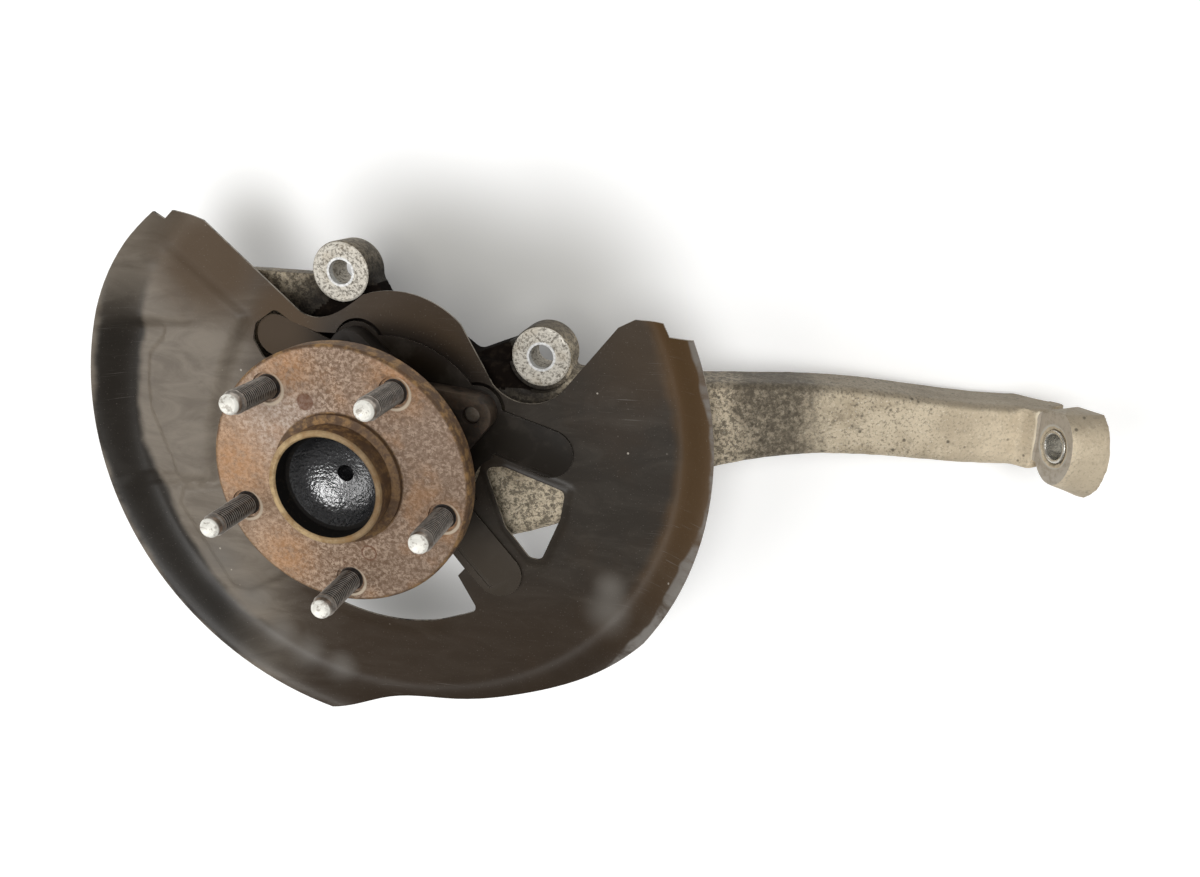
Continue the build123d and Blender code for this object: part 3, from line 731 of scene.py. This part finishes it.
def hub_finish(settings):
    """Rusted forging: grey grain, brown film, orange clouds and golden edges, with painted shade on the
    right and on the pilot's right wall, painted sheen on the left and painted highlights at the studs and
    the pilot's lip.
    """
    finish = Finish("hub_forging", settings.film, roughness=0.6, metallic=0.25)
    coat, ramp, step, times, spot = finish.coat, finish.ramp, finish.step, finish.times, finish.spot
    x, _, z = finish.axes()
    radius = finish.radius()
    grain = finish.noise(430.0, 8.0, 0.78)
    mottle = finish.noise(170.0, 6.0, 0.72)
    clear = finish.span(step(mottle, 0.36, 0.62), 0.45, 1.0)
    light = times(step(grain, 0.43, 0.58), clear)
    coat(light, settings.steel)
    grey = times(spot((-30, 28), 8, 36), finish.span(light, 0.15, 0.75))
    coat(grey, (0.52, 0.47, 0.43))
    # Painted shade: darker towards the right.
    coat(ramp(x, -20, 50), (0.15, 0.105, 0.075), 0.4)
    # Lighter towards the left: partly rust, partly a painted sheen.
    coat(ramp(x, 0, -55), (0.66, 0.44, 0.28), 0.25)
    bloom = times(finish.patches(0.50, 0.70, 34.0, 4.0, 0.6), 0.5)
    rusty = step(mottle, 0.30, 0.58)
    for place, reach in RUST_BLOOMS:
        bloom = finish.most(bloom, times(spot(place, 0, reach), rusty))
    coat(bloom, settings.orange, 0.62)
    coat(finish.patches(0.55, 0.68, 620.0, 4.0, 0.75), (0.085, 0.05, 0.032), 0.5)
    ring = finish.minus(spot(RING_MARK, 4.1, 4.6), spot(RING_MARK, 3.2, 3.8))
    marks = finish.most(spot(ROUND_MARK, 4.1, 4.7), ring)
    coat(marks, (0.135, 0.05, 0.022), 0.7)
    for index in STUDS:
        stud = seat(f"wheel_stud_{index}")
        # Painted highlight: a lit crescent on the lower right of each stud's ring.
        pressed = finish.near(stud + Vector((0.7, -0.7, 0)) * MM, 8.2, 9.0)
        pressed = finish.minus(pressed, finish.near(stud, 7.6, 8.4))
        coat(finish.most(pressed, 0.0), (0.60, 0.50, 0.38))
    edge = step(radius, FLANGE_RADIUS - 2.2 * MM, FLANGE_RADIUS - 0.7 * MM)
    wall = finish.most(edge, ramp(radius, 35.6, 34.4))
    varnish = finish.layer(step(mottle, 0.36, 0.56), settings.gold, (0.085, 0.043, 0.018))
    # Painted shade: the varnish is darker on the right of the pilot's wall.
    rear = times(ramp(x, 2, 26), ramp(radius, 36, 34), 0.48)
    varnish = finish.layer(rear, varnish, (0.060, 0.030, 0.012))
    coat(wall, varnish, 0.92)
    # The pilot's golden top lip is stronger towards the left: the left weighting is a painted highlight.
    lip = step(z, PILOT_TOP - 1.2 * MM, PILOT_TOP - 0.5 * MM)
    lip = times(lip, step(mottle, 0.30, 0.62))
    lip = times(lip, finish.span(ramp(x, 24, -16), 0.4, 1.0))
    coat(lip, (0.54, 0.385, 0.20))
    finish.rough(grain, 0.5, 0.8)
    finish.relief(grain, 0.25, 0.5)
    finish.relief(finish.noise(210.0, 3.0, 0.6), 0.5, 0.35)
    return finish.material


def bowl_finish():
    """Black paint with an orange-peel skin in the bowl of the pilot."""
    look = ((0.06, 0.05, 0.038), 0.25, (0.58, 0.78), (140.0, 4.0, 0.7), (0.22, 0.5))
    finish = worn_finish("bowl_paint", (0.007, 0.007, 0.008), *look, roughness=0.26, gloss=1.0)
    finish.set("IOR", 1.8)
    finish.relief(finish.noise(620.0, 2.0, 0.5), 0.8, 0.75)
    return finish.material


def pilot_inside_finish():
    """Dull black paint on the wall and ledge round the bowl, with rust dust."""
    look = ((0.045, 0.032, 0.02), 0.5, (0.55, 0.72), (480.0, 4.0, 0.7), None, (0.1, 0.3))
    black = (0.007, 0.006, 0.005)
    return worn_finish("pilot_inside_paint", black, *look, roughness=0.8, gloss=0.15).material


def stud_finish(settings):
    """Dark rolled thread with a bright bare end."""
    finish = Finish("stud_steel", settings.steel, roughness=0.36, metallic=0.8)
    _, _, z = finish.axes()
    wear = finish.noise(420.0, 3.0, 0.65)
    finish.coat(finish.step(wear, 0.38, 0.66), (0.43, 0.38, 0.33))
    finish.coat(finish.patches(0.54, 0.70, 160.0, 3.0, 0.6), (0.17, 0.095, 0.05), 0.35)
    tip = finish.step(z, STUD_TOP - 1.9 * MM, STUD_TOP - 0.9 * MM)
    pale = finish.layer(finish.step(wear, 0.50, 0.68), settings.bright, (0.50, 0.46, 0.40))
    finish.coat(tip, pale)
    finish.set("Metallic", finish.span(tip, 0.8, 0.15))
    finish.rough(tip, 0.34, 0.5)
    finish.relief(wear, 0.15, 0.3)
    return finish.material


def root_finish():
    """Dirt in the roots of the studs' thread."""
    look = ((0.060, 0.045, 0.034), 1.0, (0.40, 0.64), (300.0, 3.0))
    black = (0.022, 0.018, 0.015)
    return worn_finish("thread_root", black, *look, roughness=0.7, metallic=0.2).material


def bearing_finish():
    """Dark stained bearing steel with rust bloom on its lugs and painted shade on the upper lug behind the
    hub.
    """
    finish = Finish("bearing_steel", (0.034, 0.025, 0.018), roughness=0.55, metallic=0.35)
    _, y, _ = finish.axes()
    bloom = finish.noise(70.0, 4.0, 0.65)
    finish.coat(finish.step(bloom, 0.42, 0.66), (0.100, 0.070, 0.046))
    finish.coat(finish.patches(0.54, 0.68, 330.0, 4.0, 0.7), (0.085, 0.040, 0.020), 0.6)
    # Painted shade: near black on the upper lug behind the hub.
    finish.coat(finish.ramp(y, 44, 60), (0.010, 0.006, 0.003), 0.92)
    finish.rough(bloom, 0.45, 0.75)
    finish.relief(finish.noise(480.0, 3.0), 0.3, 0.4)
    return finish.material


def plain_finish(name, base, mark, roughness, metallic, scale=300.0):
    """A quiet finish for the pieces inside the bearing and behind it."""
    span = (roughness, min(roughness + 0.2, 1.0))
    look = (mark, 0.6, (0.45, 0.72), (scale, 4.0, 0.65), span, (0.08, 0.3))
    return worn_finish(name, base, *look, roughness=roughness, metallic=metallic).material


class KNUCKLE_OT_casting(bpy.types.Operator):
    """Skin the knuckle casting and re-cut its machined faces and bores"""

    bl_idname = "knuckle.casting"
    bl_label = "Knuckle casting"

    def execute(self, context):
        settings = context.scene.knuckle_casting
        casting = cad_copy("knuckle", "casting")
        skin, bright = cast_finish(settings), machined_finish(settings)
        casting.data.materials.append(skin)
        modify(casting, "REMESH", mode="VOXEL", voxel_size=settings.cell)
        modify(casting, "SMOOTH", factor=0.5, iterations=settings.soften)
        sand = bpy.data.textures.new("sand_skin", "CLOUDS")
        sand.noise_scale = SAND_GRAIN
        relief = {"texture": sand, "texture_coords": "LOCAL", "strength": settings.sand_depth}
        modify(casting, "DISPLACE", mid_level=1.0, **relief)
        for ear in EARS:
            cut(casting, drill(EAR_CLEARANCE, lift(ear, -1), lift(ear, EAR_OVER), skin))
            cut(casting, self.ear_boss(ear, skin, bright), "UNION")
        for cutter in self.cutters(skin, bright):
            cut(casting, cutter)
        # Skin faces near the hub and behind the shield get the near-black finish of dirt and painted shade.
        casting.data.materials.append(grime_and_shade_finish())
        for face in casting.data.polygons:
            reach = math.hypot(face.center.x, face.center.y)
            if face.material_index == 0 and reach < GRIME_AND_SHADE_REACH and face.center.y > GRIME_AND_SHADE_START:
                face.material_index = len(casting.data.materials) - 1
        settle(casting, ["knuckle"], "carrier", 38)
        return {"FINISHED"}

    def cutters(self, skin, bright):
        """Cutters for the machined faces and holes, in the order of the cuts."""
        run = (CREST[1] - CREST[0]).normalized()
        out = (Vector((0, 1, 0)) - run * run.y).normalized()
        rear = EYE_FACE - EYE_AXIS * EYE_LENGTH * MM
        deep, over = EYE_FACE - EYE_AXIS * 50 * MM, EYE_FACE + EYE_AXIS * 20 * MM
        cutters = [drill(EAR_HOLE, lift(ear, -60), lift(ear, EAR_OVER), bright) for ear in EARS]
        cutters += [
            self.block(EYE_FACE, EYE_UP, EYE_AXIS, EYE_RIDGE, faced_finish()),
            self.block(CREST[0], run, out, 4 * MM, skin),
            self.block(rear, EYE_UP, -EYE_AXIS, 30 * MM, skin),
            drill(EYE_BORE, deep, over, bright),
            bore(BEARING_BORE, (0, 0), FLOOR - 10 * MM, 0, bright, spokes=128),
        ]
        for index in BOLTS:
            bolt = seat(f"hub_bolt_{index}").xy
            cutters.append(bore(BOLT_HOLE, bolt, FLOOR, 0, bright))
            cutters.append(bore(BOLT_HEAD_SPACE, bolt, FLOOR, BOLT_FACE, bright))
        for x, y in LEG_HOLES:
            place = (x * MM, y * MM)
            cutters.append(bore(LEG_HOLE, place, FLOOR - 5 * MM, FLOOR + LEG_HOLE_DEPTH, bright))
        return cutters

    def block(self, place, first, out, back, finish):
        """A square cutter that stands on a place, reaching far along the first axis, with a short back."""
        size = 60 * MM
        bpy.ops.mesh.primitive_cube_add(size=size, location=(0, 0, 0))
        cutter = bpy.context.object
        edit(cutter)
        bpy.ops.transform.translate(value=(size / 2 - back, 0, size / 2))
        close_edit()
        cutter.rotation_euler = turn_to(first, out.cross(first), out)
        cutter.location = place
        return as_cutter(cutter, finish)

    def ear_boss(self, ear, skin, face_finish):
        """A caliper ear's boss, with its cast wall under a rough flat face."""
        boss = drill(EAR_RADIUS, lift(ear, -22), ear, skin)
        boss.data.materials.append(face_finish)
        for face in boss.data.polygons:
            face.material_index = 1 if face.normal.z > 0.9 else 0
        bevel(boss, 1.8 * MM, 4)
        select_only(boss, "FACE", lambda face: face.normal.z > 0.99)
        bpy.ops.mesh.inset(thickness=0.3 * MM, depth=0)
        close_edit()
        return boss


class KNUCKLE_OT_bush(bpy.types.Operator):
    """Finish the steel bush in the ball joint eye"""

    bl_idname = "knuckle.bush"
    bl_label = "Ball joint bush"

    def execute(self, context):
        bush = cad_copy("ball_joint_bush", "eye_bush")
        flat_faces(bush)
        bevel(bush, 0.6 * MM, 3)
        bush.data.materials.append(bush_finish())
        settle(bush, ["ball_joint_bush"], "carrier")
        return {"FINISHED"}


def sheet_height(x, y, settings):
    """Height of the pressed sheet over its mounting plane, in metres, at a place in millimetres."""
    radius = math.hypot(x, y)
    crease = (RIM_RADIUS - settings.rim_width) / MM
    height = 0.0
    for depth, field, low, high in PRESSINGS:
        height += depth * ease(inside_distance(x, y, field), low, high)
    height += 3.0 * ease(inside_distance(x, y, HUB_FIELD), -2.5, 2.5) * ease(radius, 69, 76)
    rim = (RIM_TOP - SHEET_TOP) / MM
    height += (rim - height) * ease(radius, crease - 2, RIM_RADIUS / MM + 1.5)
    window = inside_distance(x, y, SIDE_WINDOW)
    height += 2.2 * ease(window, -5.0, -0.6)
    lower = inside_distance(x, y, LOWER_WINDOW)
    height += 1.8 * ease(lower, -11.0, -2.0) * ease(y, -94, -106) * ease(x, 34, 18)
    return height * MM


class KNUCKLE_OT_shield(bpy.types.Operator):
    """Press the dust shield's rim and fields and trim it to its outline"""

    bl_idname = "knuckle.shield"
    bl_label = "Dust shield"

    def execute(self, context):
        settings = context.scene.knuckle_shield
        inner, ring = settings.hole_radius, settings.ring_step
        rings = round((RIM_RADIUS + TRIM - inner) / ring)
        stations = [(inner + index * ring, SHEET_TOP) for index in range(rings + 1)]
        shield = turned("shield", stations, settings.spokes)
        for vertex in shield.data.vertices:
            vertex.co.z = SHEET_TOP + sheet_height(vertex.co.x / MM, vertex.co.y / MM, settings)
        edit(shield)
        if sum(face.normal.z for face in shield.data.polygons) < 0:
            bpy.ops.mesh.flip_normals()
        close_edit()
        modify(shield, "SOLIDIFY", thickness=settings.sheet, offset=-1.0)
        shield.data.materials.append(shield_finish(settings))
        cut(shield, self.blank(settings), "INTERSECT")
        settle(shield, ["dust_shield"], "carrier", 40)
        return {"FINISHED"}

    def blank(self, settings):
        """The outline of the CAD sheet, raised into a block that trims the pressed one."""
        blank = cad_copy("dust_shield", "shield_blank")
        select_only(blank, "FACE", lambda face: face.normal.z < 0.3)
        bpy.ops.mesh.delete(type="FACE")
        bpy.ops.mesh.select_all(action="SELECT")
        bpy.ops.transform.resize(value=(1, 1, 0), center_override=(0, 0, SHEET_TOP - BLANK_DROP))
        bpy.ops.mesh.remove_doubles(threshold=0.02 * MM)
        bpy.ops.mesh.dissolve_limited(angle_limit=math.radians(0.5))
        bpy.ops.mesh.extrude_region_move(TRANSFORM_OT_translate={"value": (0, 0, BLANK_HEIGHT)})
        bpy.ops.mesh.select_all(action="SELECT")
        bpy.ops.mesh.normals_make_consistent(inside=False)
        close_edit()
        blank.data.materials.append(edge_finish(settings))
        return blank


class KNUCKLE_OT_plate(bpy.types.Operator):
    """Finish the plate that carries the shield, with the beads along its tongues"""

    bl_idname = "knuckle.plate"
    bl_label = "Shield plate"

    def execute(self, context):
        plate = cad_copy("shield_mounting_plate", "shield_plate")
        paint = plate_finish()
        plate.data.materials.append(paint)
        for start, end in BEADS:
            middle = (Vector((*start, 0)) + Vector((*end, 0))) / 2 * MM
            along = (Vector((*end, 0)) - Vector((*start, 0))) * MM
            bpy.ops.mesh.primitive_cube_add(size=1.0, location=(middle.x, middle.y, PLATE_TOP))
            bead = bpy.context.object
            bead.scale = (along.length, BEAD_WIDTH, BEAD_HEIGHT)
            bead.rotation_euler = (0, 0, math.atan2(along.y, along.x))
            as_cutter(bead, paint)
            bevel(bead, 0.6 * MM, 3)
            cut(plate, bead)
        plate.data.materials.append(edge_finish(context.scene.knuckle_shield))
        flat_faces(plate)
        bevel(plate, 0.8 * MM, 3, angle=50, material=1)
        settle(plate, ["shield_mounting_plate"], "carrier", 35)
        return {"FINISHED"}


class KNUCKLE_OT_hub(bpy.types.Operator):
    """Turn the wheel hub with its flange, pilot and painted bowl"""

    bl_idname = "knuckle.hub"
    bl_label = "Wheel hub"

    def execute(self, context):
        settings = context.scene.knuckle_hub
        hub = cad_copy("hub", "wheel_hub")
        flat_faces(hub)
        self.round_bowl(hub)
        bevel(hub, settings.edge, 2, angle=28)
        # Painted highlight: a lighter grey on the ledge's rounded edge stands in for a glint.
        ledge_glint = plain_finish("ledge_glint", (0.22, 0.22, 0.22), (0.06, 0.06, 0.06), 0.35, 0.4)
        for finish in (hub_finish(settings), bowl_finish(), pilot_inside_finish(), ledge_glint):
            hub.data.materials.append(finish)
        ledge_base, ledge_reach = settings.ledge - 2 * settings.edge, settings.bowl + 2 * settings.edge
        for face in hub.data.polygons:
            places = [hub.data.vertices[corner].co for corner in face.vertices]
            reach = max(math.hypot(place.x, place.y) for place in places)
            if reach < PILOT_INSIDE and BOWL_BOTTOM < face.center.z < PILOT_TOP - 1.2 * MM:
                ledge = min(place.z for place in places) > ledge_base and reach < ledge_reach
                bowl = reach < settings.bowl + settings.edge
                face.material_index = 3 if ledge else 1 if bowl else 2
        settle(hub, ["hub"], "wheel_hub", 30)
        return {"FINISHED"}

    def round_bowl(self, hub):
        """Rounds the knees of the bowl's profile into one hollow curve."""
        select_only(hub, "EDGE", lambda line: self.on_knee(hub, line))
        bpy.ops.mesh.bevel(offset=KNEE_ROUNDING, offset_type="OFFSET", segments=6, clamp_overlap=True)
        close_edit()

    def on_knee(self, hub, line):
        """True on the two circles where the bowl's profile turns."""
        ends = [hub.data.vertices[index].co for index in line.vertices]
        if abs(ends[0].z - ends[1].z) >= 0.05 * MM:
            return False
        return all(
            KNEE_HEIGHTS[0] < end.z < KNEE_HEIGHTS[1]
            and KNEE_RADII[0] < math.hypot(end.x, end.y) < KNEE_RADII[1]
            for end in ends
        )


class KNUCKLE_OT_studs(bpy.types.Operator):
    """Turn one threaded wheel stud and copy it to the five places"""

    bl_idname = "knuckle.studs"
    bl_label = "Wheel studs"

    def execute(self, context):
        settings = context.scene.knuckle_studs
        pitch = settings.pitch
        turns = math.ceil((STUD_TOP - settings.lead + THREAD_DROP) / pitch * RINGS_A_TURN)
        rings = [-THREAD_DROP + index * pitch / RINGS_A_TURN for index in range(turns + 1)]
        first, last = rings[0], rings[-1]
        stud = turned("stud", self.outline(rings, settings.radius), STUD_SPOKES)
        for vertex in stud.data.vertices:
            x, y, z = vertex.co
            radius = math.hypot(x, y)
            if first < z <= last and radius > THREAD_CORE:
                phase = z / pitch - math.atan2(y, x) / (2 * math.pi)
                flank = abs(2 * (phase % 1.0) - 1)
                fade = ease(z, first, first + pitch) * ease(z, last, last - pitch)
                shrink = 1 - settings.depth * fade * flank / radius
                vertex.co.x, vertex.co.y = x * shrink, y * shrink
        edit(stud)
        bpy.ops.mesh.select_all(action="DESELECT")
        bpy.ops.mesh.select_non_manifold()
        bpy.ops.mesh.edge_face_add()
        bpy.ops.mesh.select_all(action="SELECT")
        bpy.ops.mesh.normals_make_consistent(inside=False)
        close_edit()
        stud.data.materials.append(stud_finish(settings))
        stud.data.materials.append(root_finish())
        corners = stud.data.vertices
        deep = settings.radius - 0.5 * settings.depth
        for face in stud.data.polygons:
            reach = sum(math.hypot(*corners[index].co.xy) for index in face.vertices) / len(face.vertices)
            root = face.center.z < last - pitch and reach < deep
            face.material_index = 1 if root or face.center.z < 0 else 0
        for index in STUDS:
            copy = bpy.data.objects.new(f"stud_{index}", stud.data.copy())
            context.scene.collection.objects.link(copy)
            edit(copy)
            bpy.ops.transform.translate(value=seat(f"wheel_stud_{index}"))
            close_edit()
            settle(copy, [f"wheel_stud_{index}"], "wheel_hub", 40)
        bpy.data.objects.remove(stud)
        return {"FINISHED"}

    def outline(self, rings, thread_radius):
        """Stations from the head's bottom to the hollow in the stud's end."""
        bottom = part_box("wheel_stud_1")[0].z
        outline = [(radius * MM, bottom + rise * MM) for radius, rise in STUD_HEAD]
        outline += [(radius * MM, height * MM) for radius, height in STUD_NECK]
        outline += [(thread_radius, height) for height in rings]
        outline += [(5.15 * MM, rings[-1] + 0.9 * MM)]
        return outline + [(radius * MM, STUD_TOP - drop * MM) for radius, drop in STUD_END]


class KNUCKLE_OT_bearing(bpy.types.Operator):
    """Finish the bearing's outer ring and give the pieces inside it their finishes"""

    bl_idname = "knuckle.bearing"
    bl_label = "Hub bearing"

    def execute(self, context):
        ring = cad_copy("bearing_outer_ring", "bearing_ring")
        flat_faces(ring)
        bevel(ring, 0.7 * MM, 3)
        ring.data.materials.append(bearing_finish())
        settle(ring, ["bearing_outer_ring"], "carrier")
        for nodes, *look in BEARING_INSIDE:
            finish = plain_finish(*look)
            for node in nodes:
                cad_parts[node].data.materials.clear()
                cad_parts[node].data.materials.append(finish)
        return {"FINISHED"}


class KNUCKLE_OT_bolts(bpy.types.Operator):
    """Finish the four bolts that hold the bearing"""

    bl_idname = "knuckle.bolts"
    bl_label = "Bearing bolts"

    def execute(self, context):
        stained = plain_finish("bolt_steel", (0.26, 0.23, 0.19), (0.12, 0.07, 0.04), 0.42, 0.75, 160.0)
        for index in BOLTS:
            bolt = cad_copy(f"hub_bolt_{index}", f"bearing_bolt_{index}")
            flat_faces(bolt)
            bevel(bolt, 0.5 * MM, 2)
            bolt.data.materials.append(stained)
            settle(bolt, [f"hub_bolt_{index}"], "carrier")
        return {"FINISHED"}


class KNUCKLE_OT_stage(bpy.types.Operator):
    """Set the pale floor, the soft lamps and the camera"""

    bl_idname = "knuckle.stage"
    bl_label = "Stage"

    def execute(self, context):
        settings = context.scene.knuckle_stage
        bpy.ops.mesh.primitive_plane_add(size=settings.floor_size, location=(0, 0, FLOOR))
        floor = bpy.context.object
        floor.name = "floor"
        floor.data.materials.append(self.floor_finish(settings))
        self.lamp("key", KEY_PLACE, settings.key, settings.spread)
        self.lamp("side", SIDE_PLACE, settings.side, settings.spread)
        world = bpy.data.worlds.new("even_sky")
        context.scene.world = world
        world.use_nodes = True
        sky = world.node_tree.nodes["Background"]
        sky.inputs["Color"].default_value = (1.0, 1.0, 1.0, 1.0)
        sky.inputs["Strength"].default_value = settings.fill
        bpy.ops.object.camera_add(location=CAMERA_PLACE)
        camera = bpy.context.object
        camera.name = "view"
        camera.rotation_euler = turn_to(*CAMERA_AXES)
        camera.data.sensor_width = 36.0
        camera.data.lens = settings.lens
        camera.data.clip_start = 0.01
        context.scene.camera = camera
        context.scene.view_settings.view_transform = "Standard"
        return {"FINISHED"}

    def lamp(self, name, place, strength, spread):
        """A soft distant lamp that looks at the middle of the part."""
        bpy.ops.object.light_add(type="SUN", location=place)
        lamp = bpy.context.object
        lamp.name = name
        lamp.data.energy = strength
        lamp.data.angle = spread
        lamp.rotation_euler = (-Vector(place)).to_track_quat("-Z", "Y").to_euler()

    def floor_finish(self, settings):
        """Pale floor with soft shades under the part, lit a little more for the eye and for reflections."""
        finish = Finish("floor", settings.floor, roughness=0.9)
        for place, inner, outer, depth in CONTACT_SHADES:
            finish.coat(finish.spot(place, inner, outer), (0.13, 0.12, 0.09), depth)
        path = finish.node("ShaderNodeLightPath")
        rays = ("Is Camera Ray", "Is Glossy Ray", "Is Transmission Ray")
        seen = finish.most(*(path.outputs[ray] for ray in rays))
        finish.set("Emission Color", (1.0, 1.0, 1.0))
        finish.set("Emission Strength", finish.times(seen, 0.16))
        return finish.material


class KNUCKLE_PT_panel(bpy.types.Panel):
    """Lists the operators that dress the knuckle"""

    bl_idname = "KNUCKLE_PT_panel"
    bl_label = "Steering knuckle"
    bl_space_type = "VIEW_3D"
    bl_region_type = "UI"
    bl_category = "Knuckle"

    def draw(self, context):
        for operator in OPERATORS:
            self.layout.operator(operator.bl_idname)


SETTINGS = {
    "knuckle_casting": CastingSettings,
    "knuckle_shield": ShieldSettings,
    "knuckle_hub": HubSettings,
    "knuckle_studs": StudSettings,
    "knuckle_stage": StageSettings,
}
OPERATORS = (
    KNUCKLE_OT_stage,
    KNUCKLE_OT_casting,
    KNUCKLE_OT_bush,
    KNUCKLE_OT_shield,
    KNUCKLE_OT_plate,
    KNUCKLE_OT_hub,
    KNUCKLE_OT_studs,
    KNUCKLE_OT_bearing,
    KNUCKLE_OT_bolts,
)


def register():
    for group in (*SETTINGS.values(), *OPERATORS, KNUCKLE_PT_panel):
        bpy.utils.register_class(group)
    for name, group in SETTINGS.items():
        setattr(bpy.types.Scene, name, PointerProperty(type=group))


def unregister():
    for name in SETTINGS:
        delattr(bpy.types.Scene, name)
    for group in (KNUCKLE_PT_panel, *reversed(OPERATORS), *reversed(SETTINGS.values())):
        bpy.utils.unregister_class(group)


def main():
    register()
    bpy.ops.knuckle.stage()
    bpy.ops.knuckle.casting()
    bpy.ops.knuckle.bush()
    bpy.ops.knuckle.shield()
    bpy.ops.knuckle.plate()
    bpy.ops.knuckle.hub()
    bpy.ops.knuckle.studs()
    bpy.ops.knuckle.bearing()
    bpy.ops.knuckle.bolts()


if __name__ == "__main__":
    main()
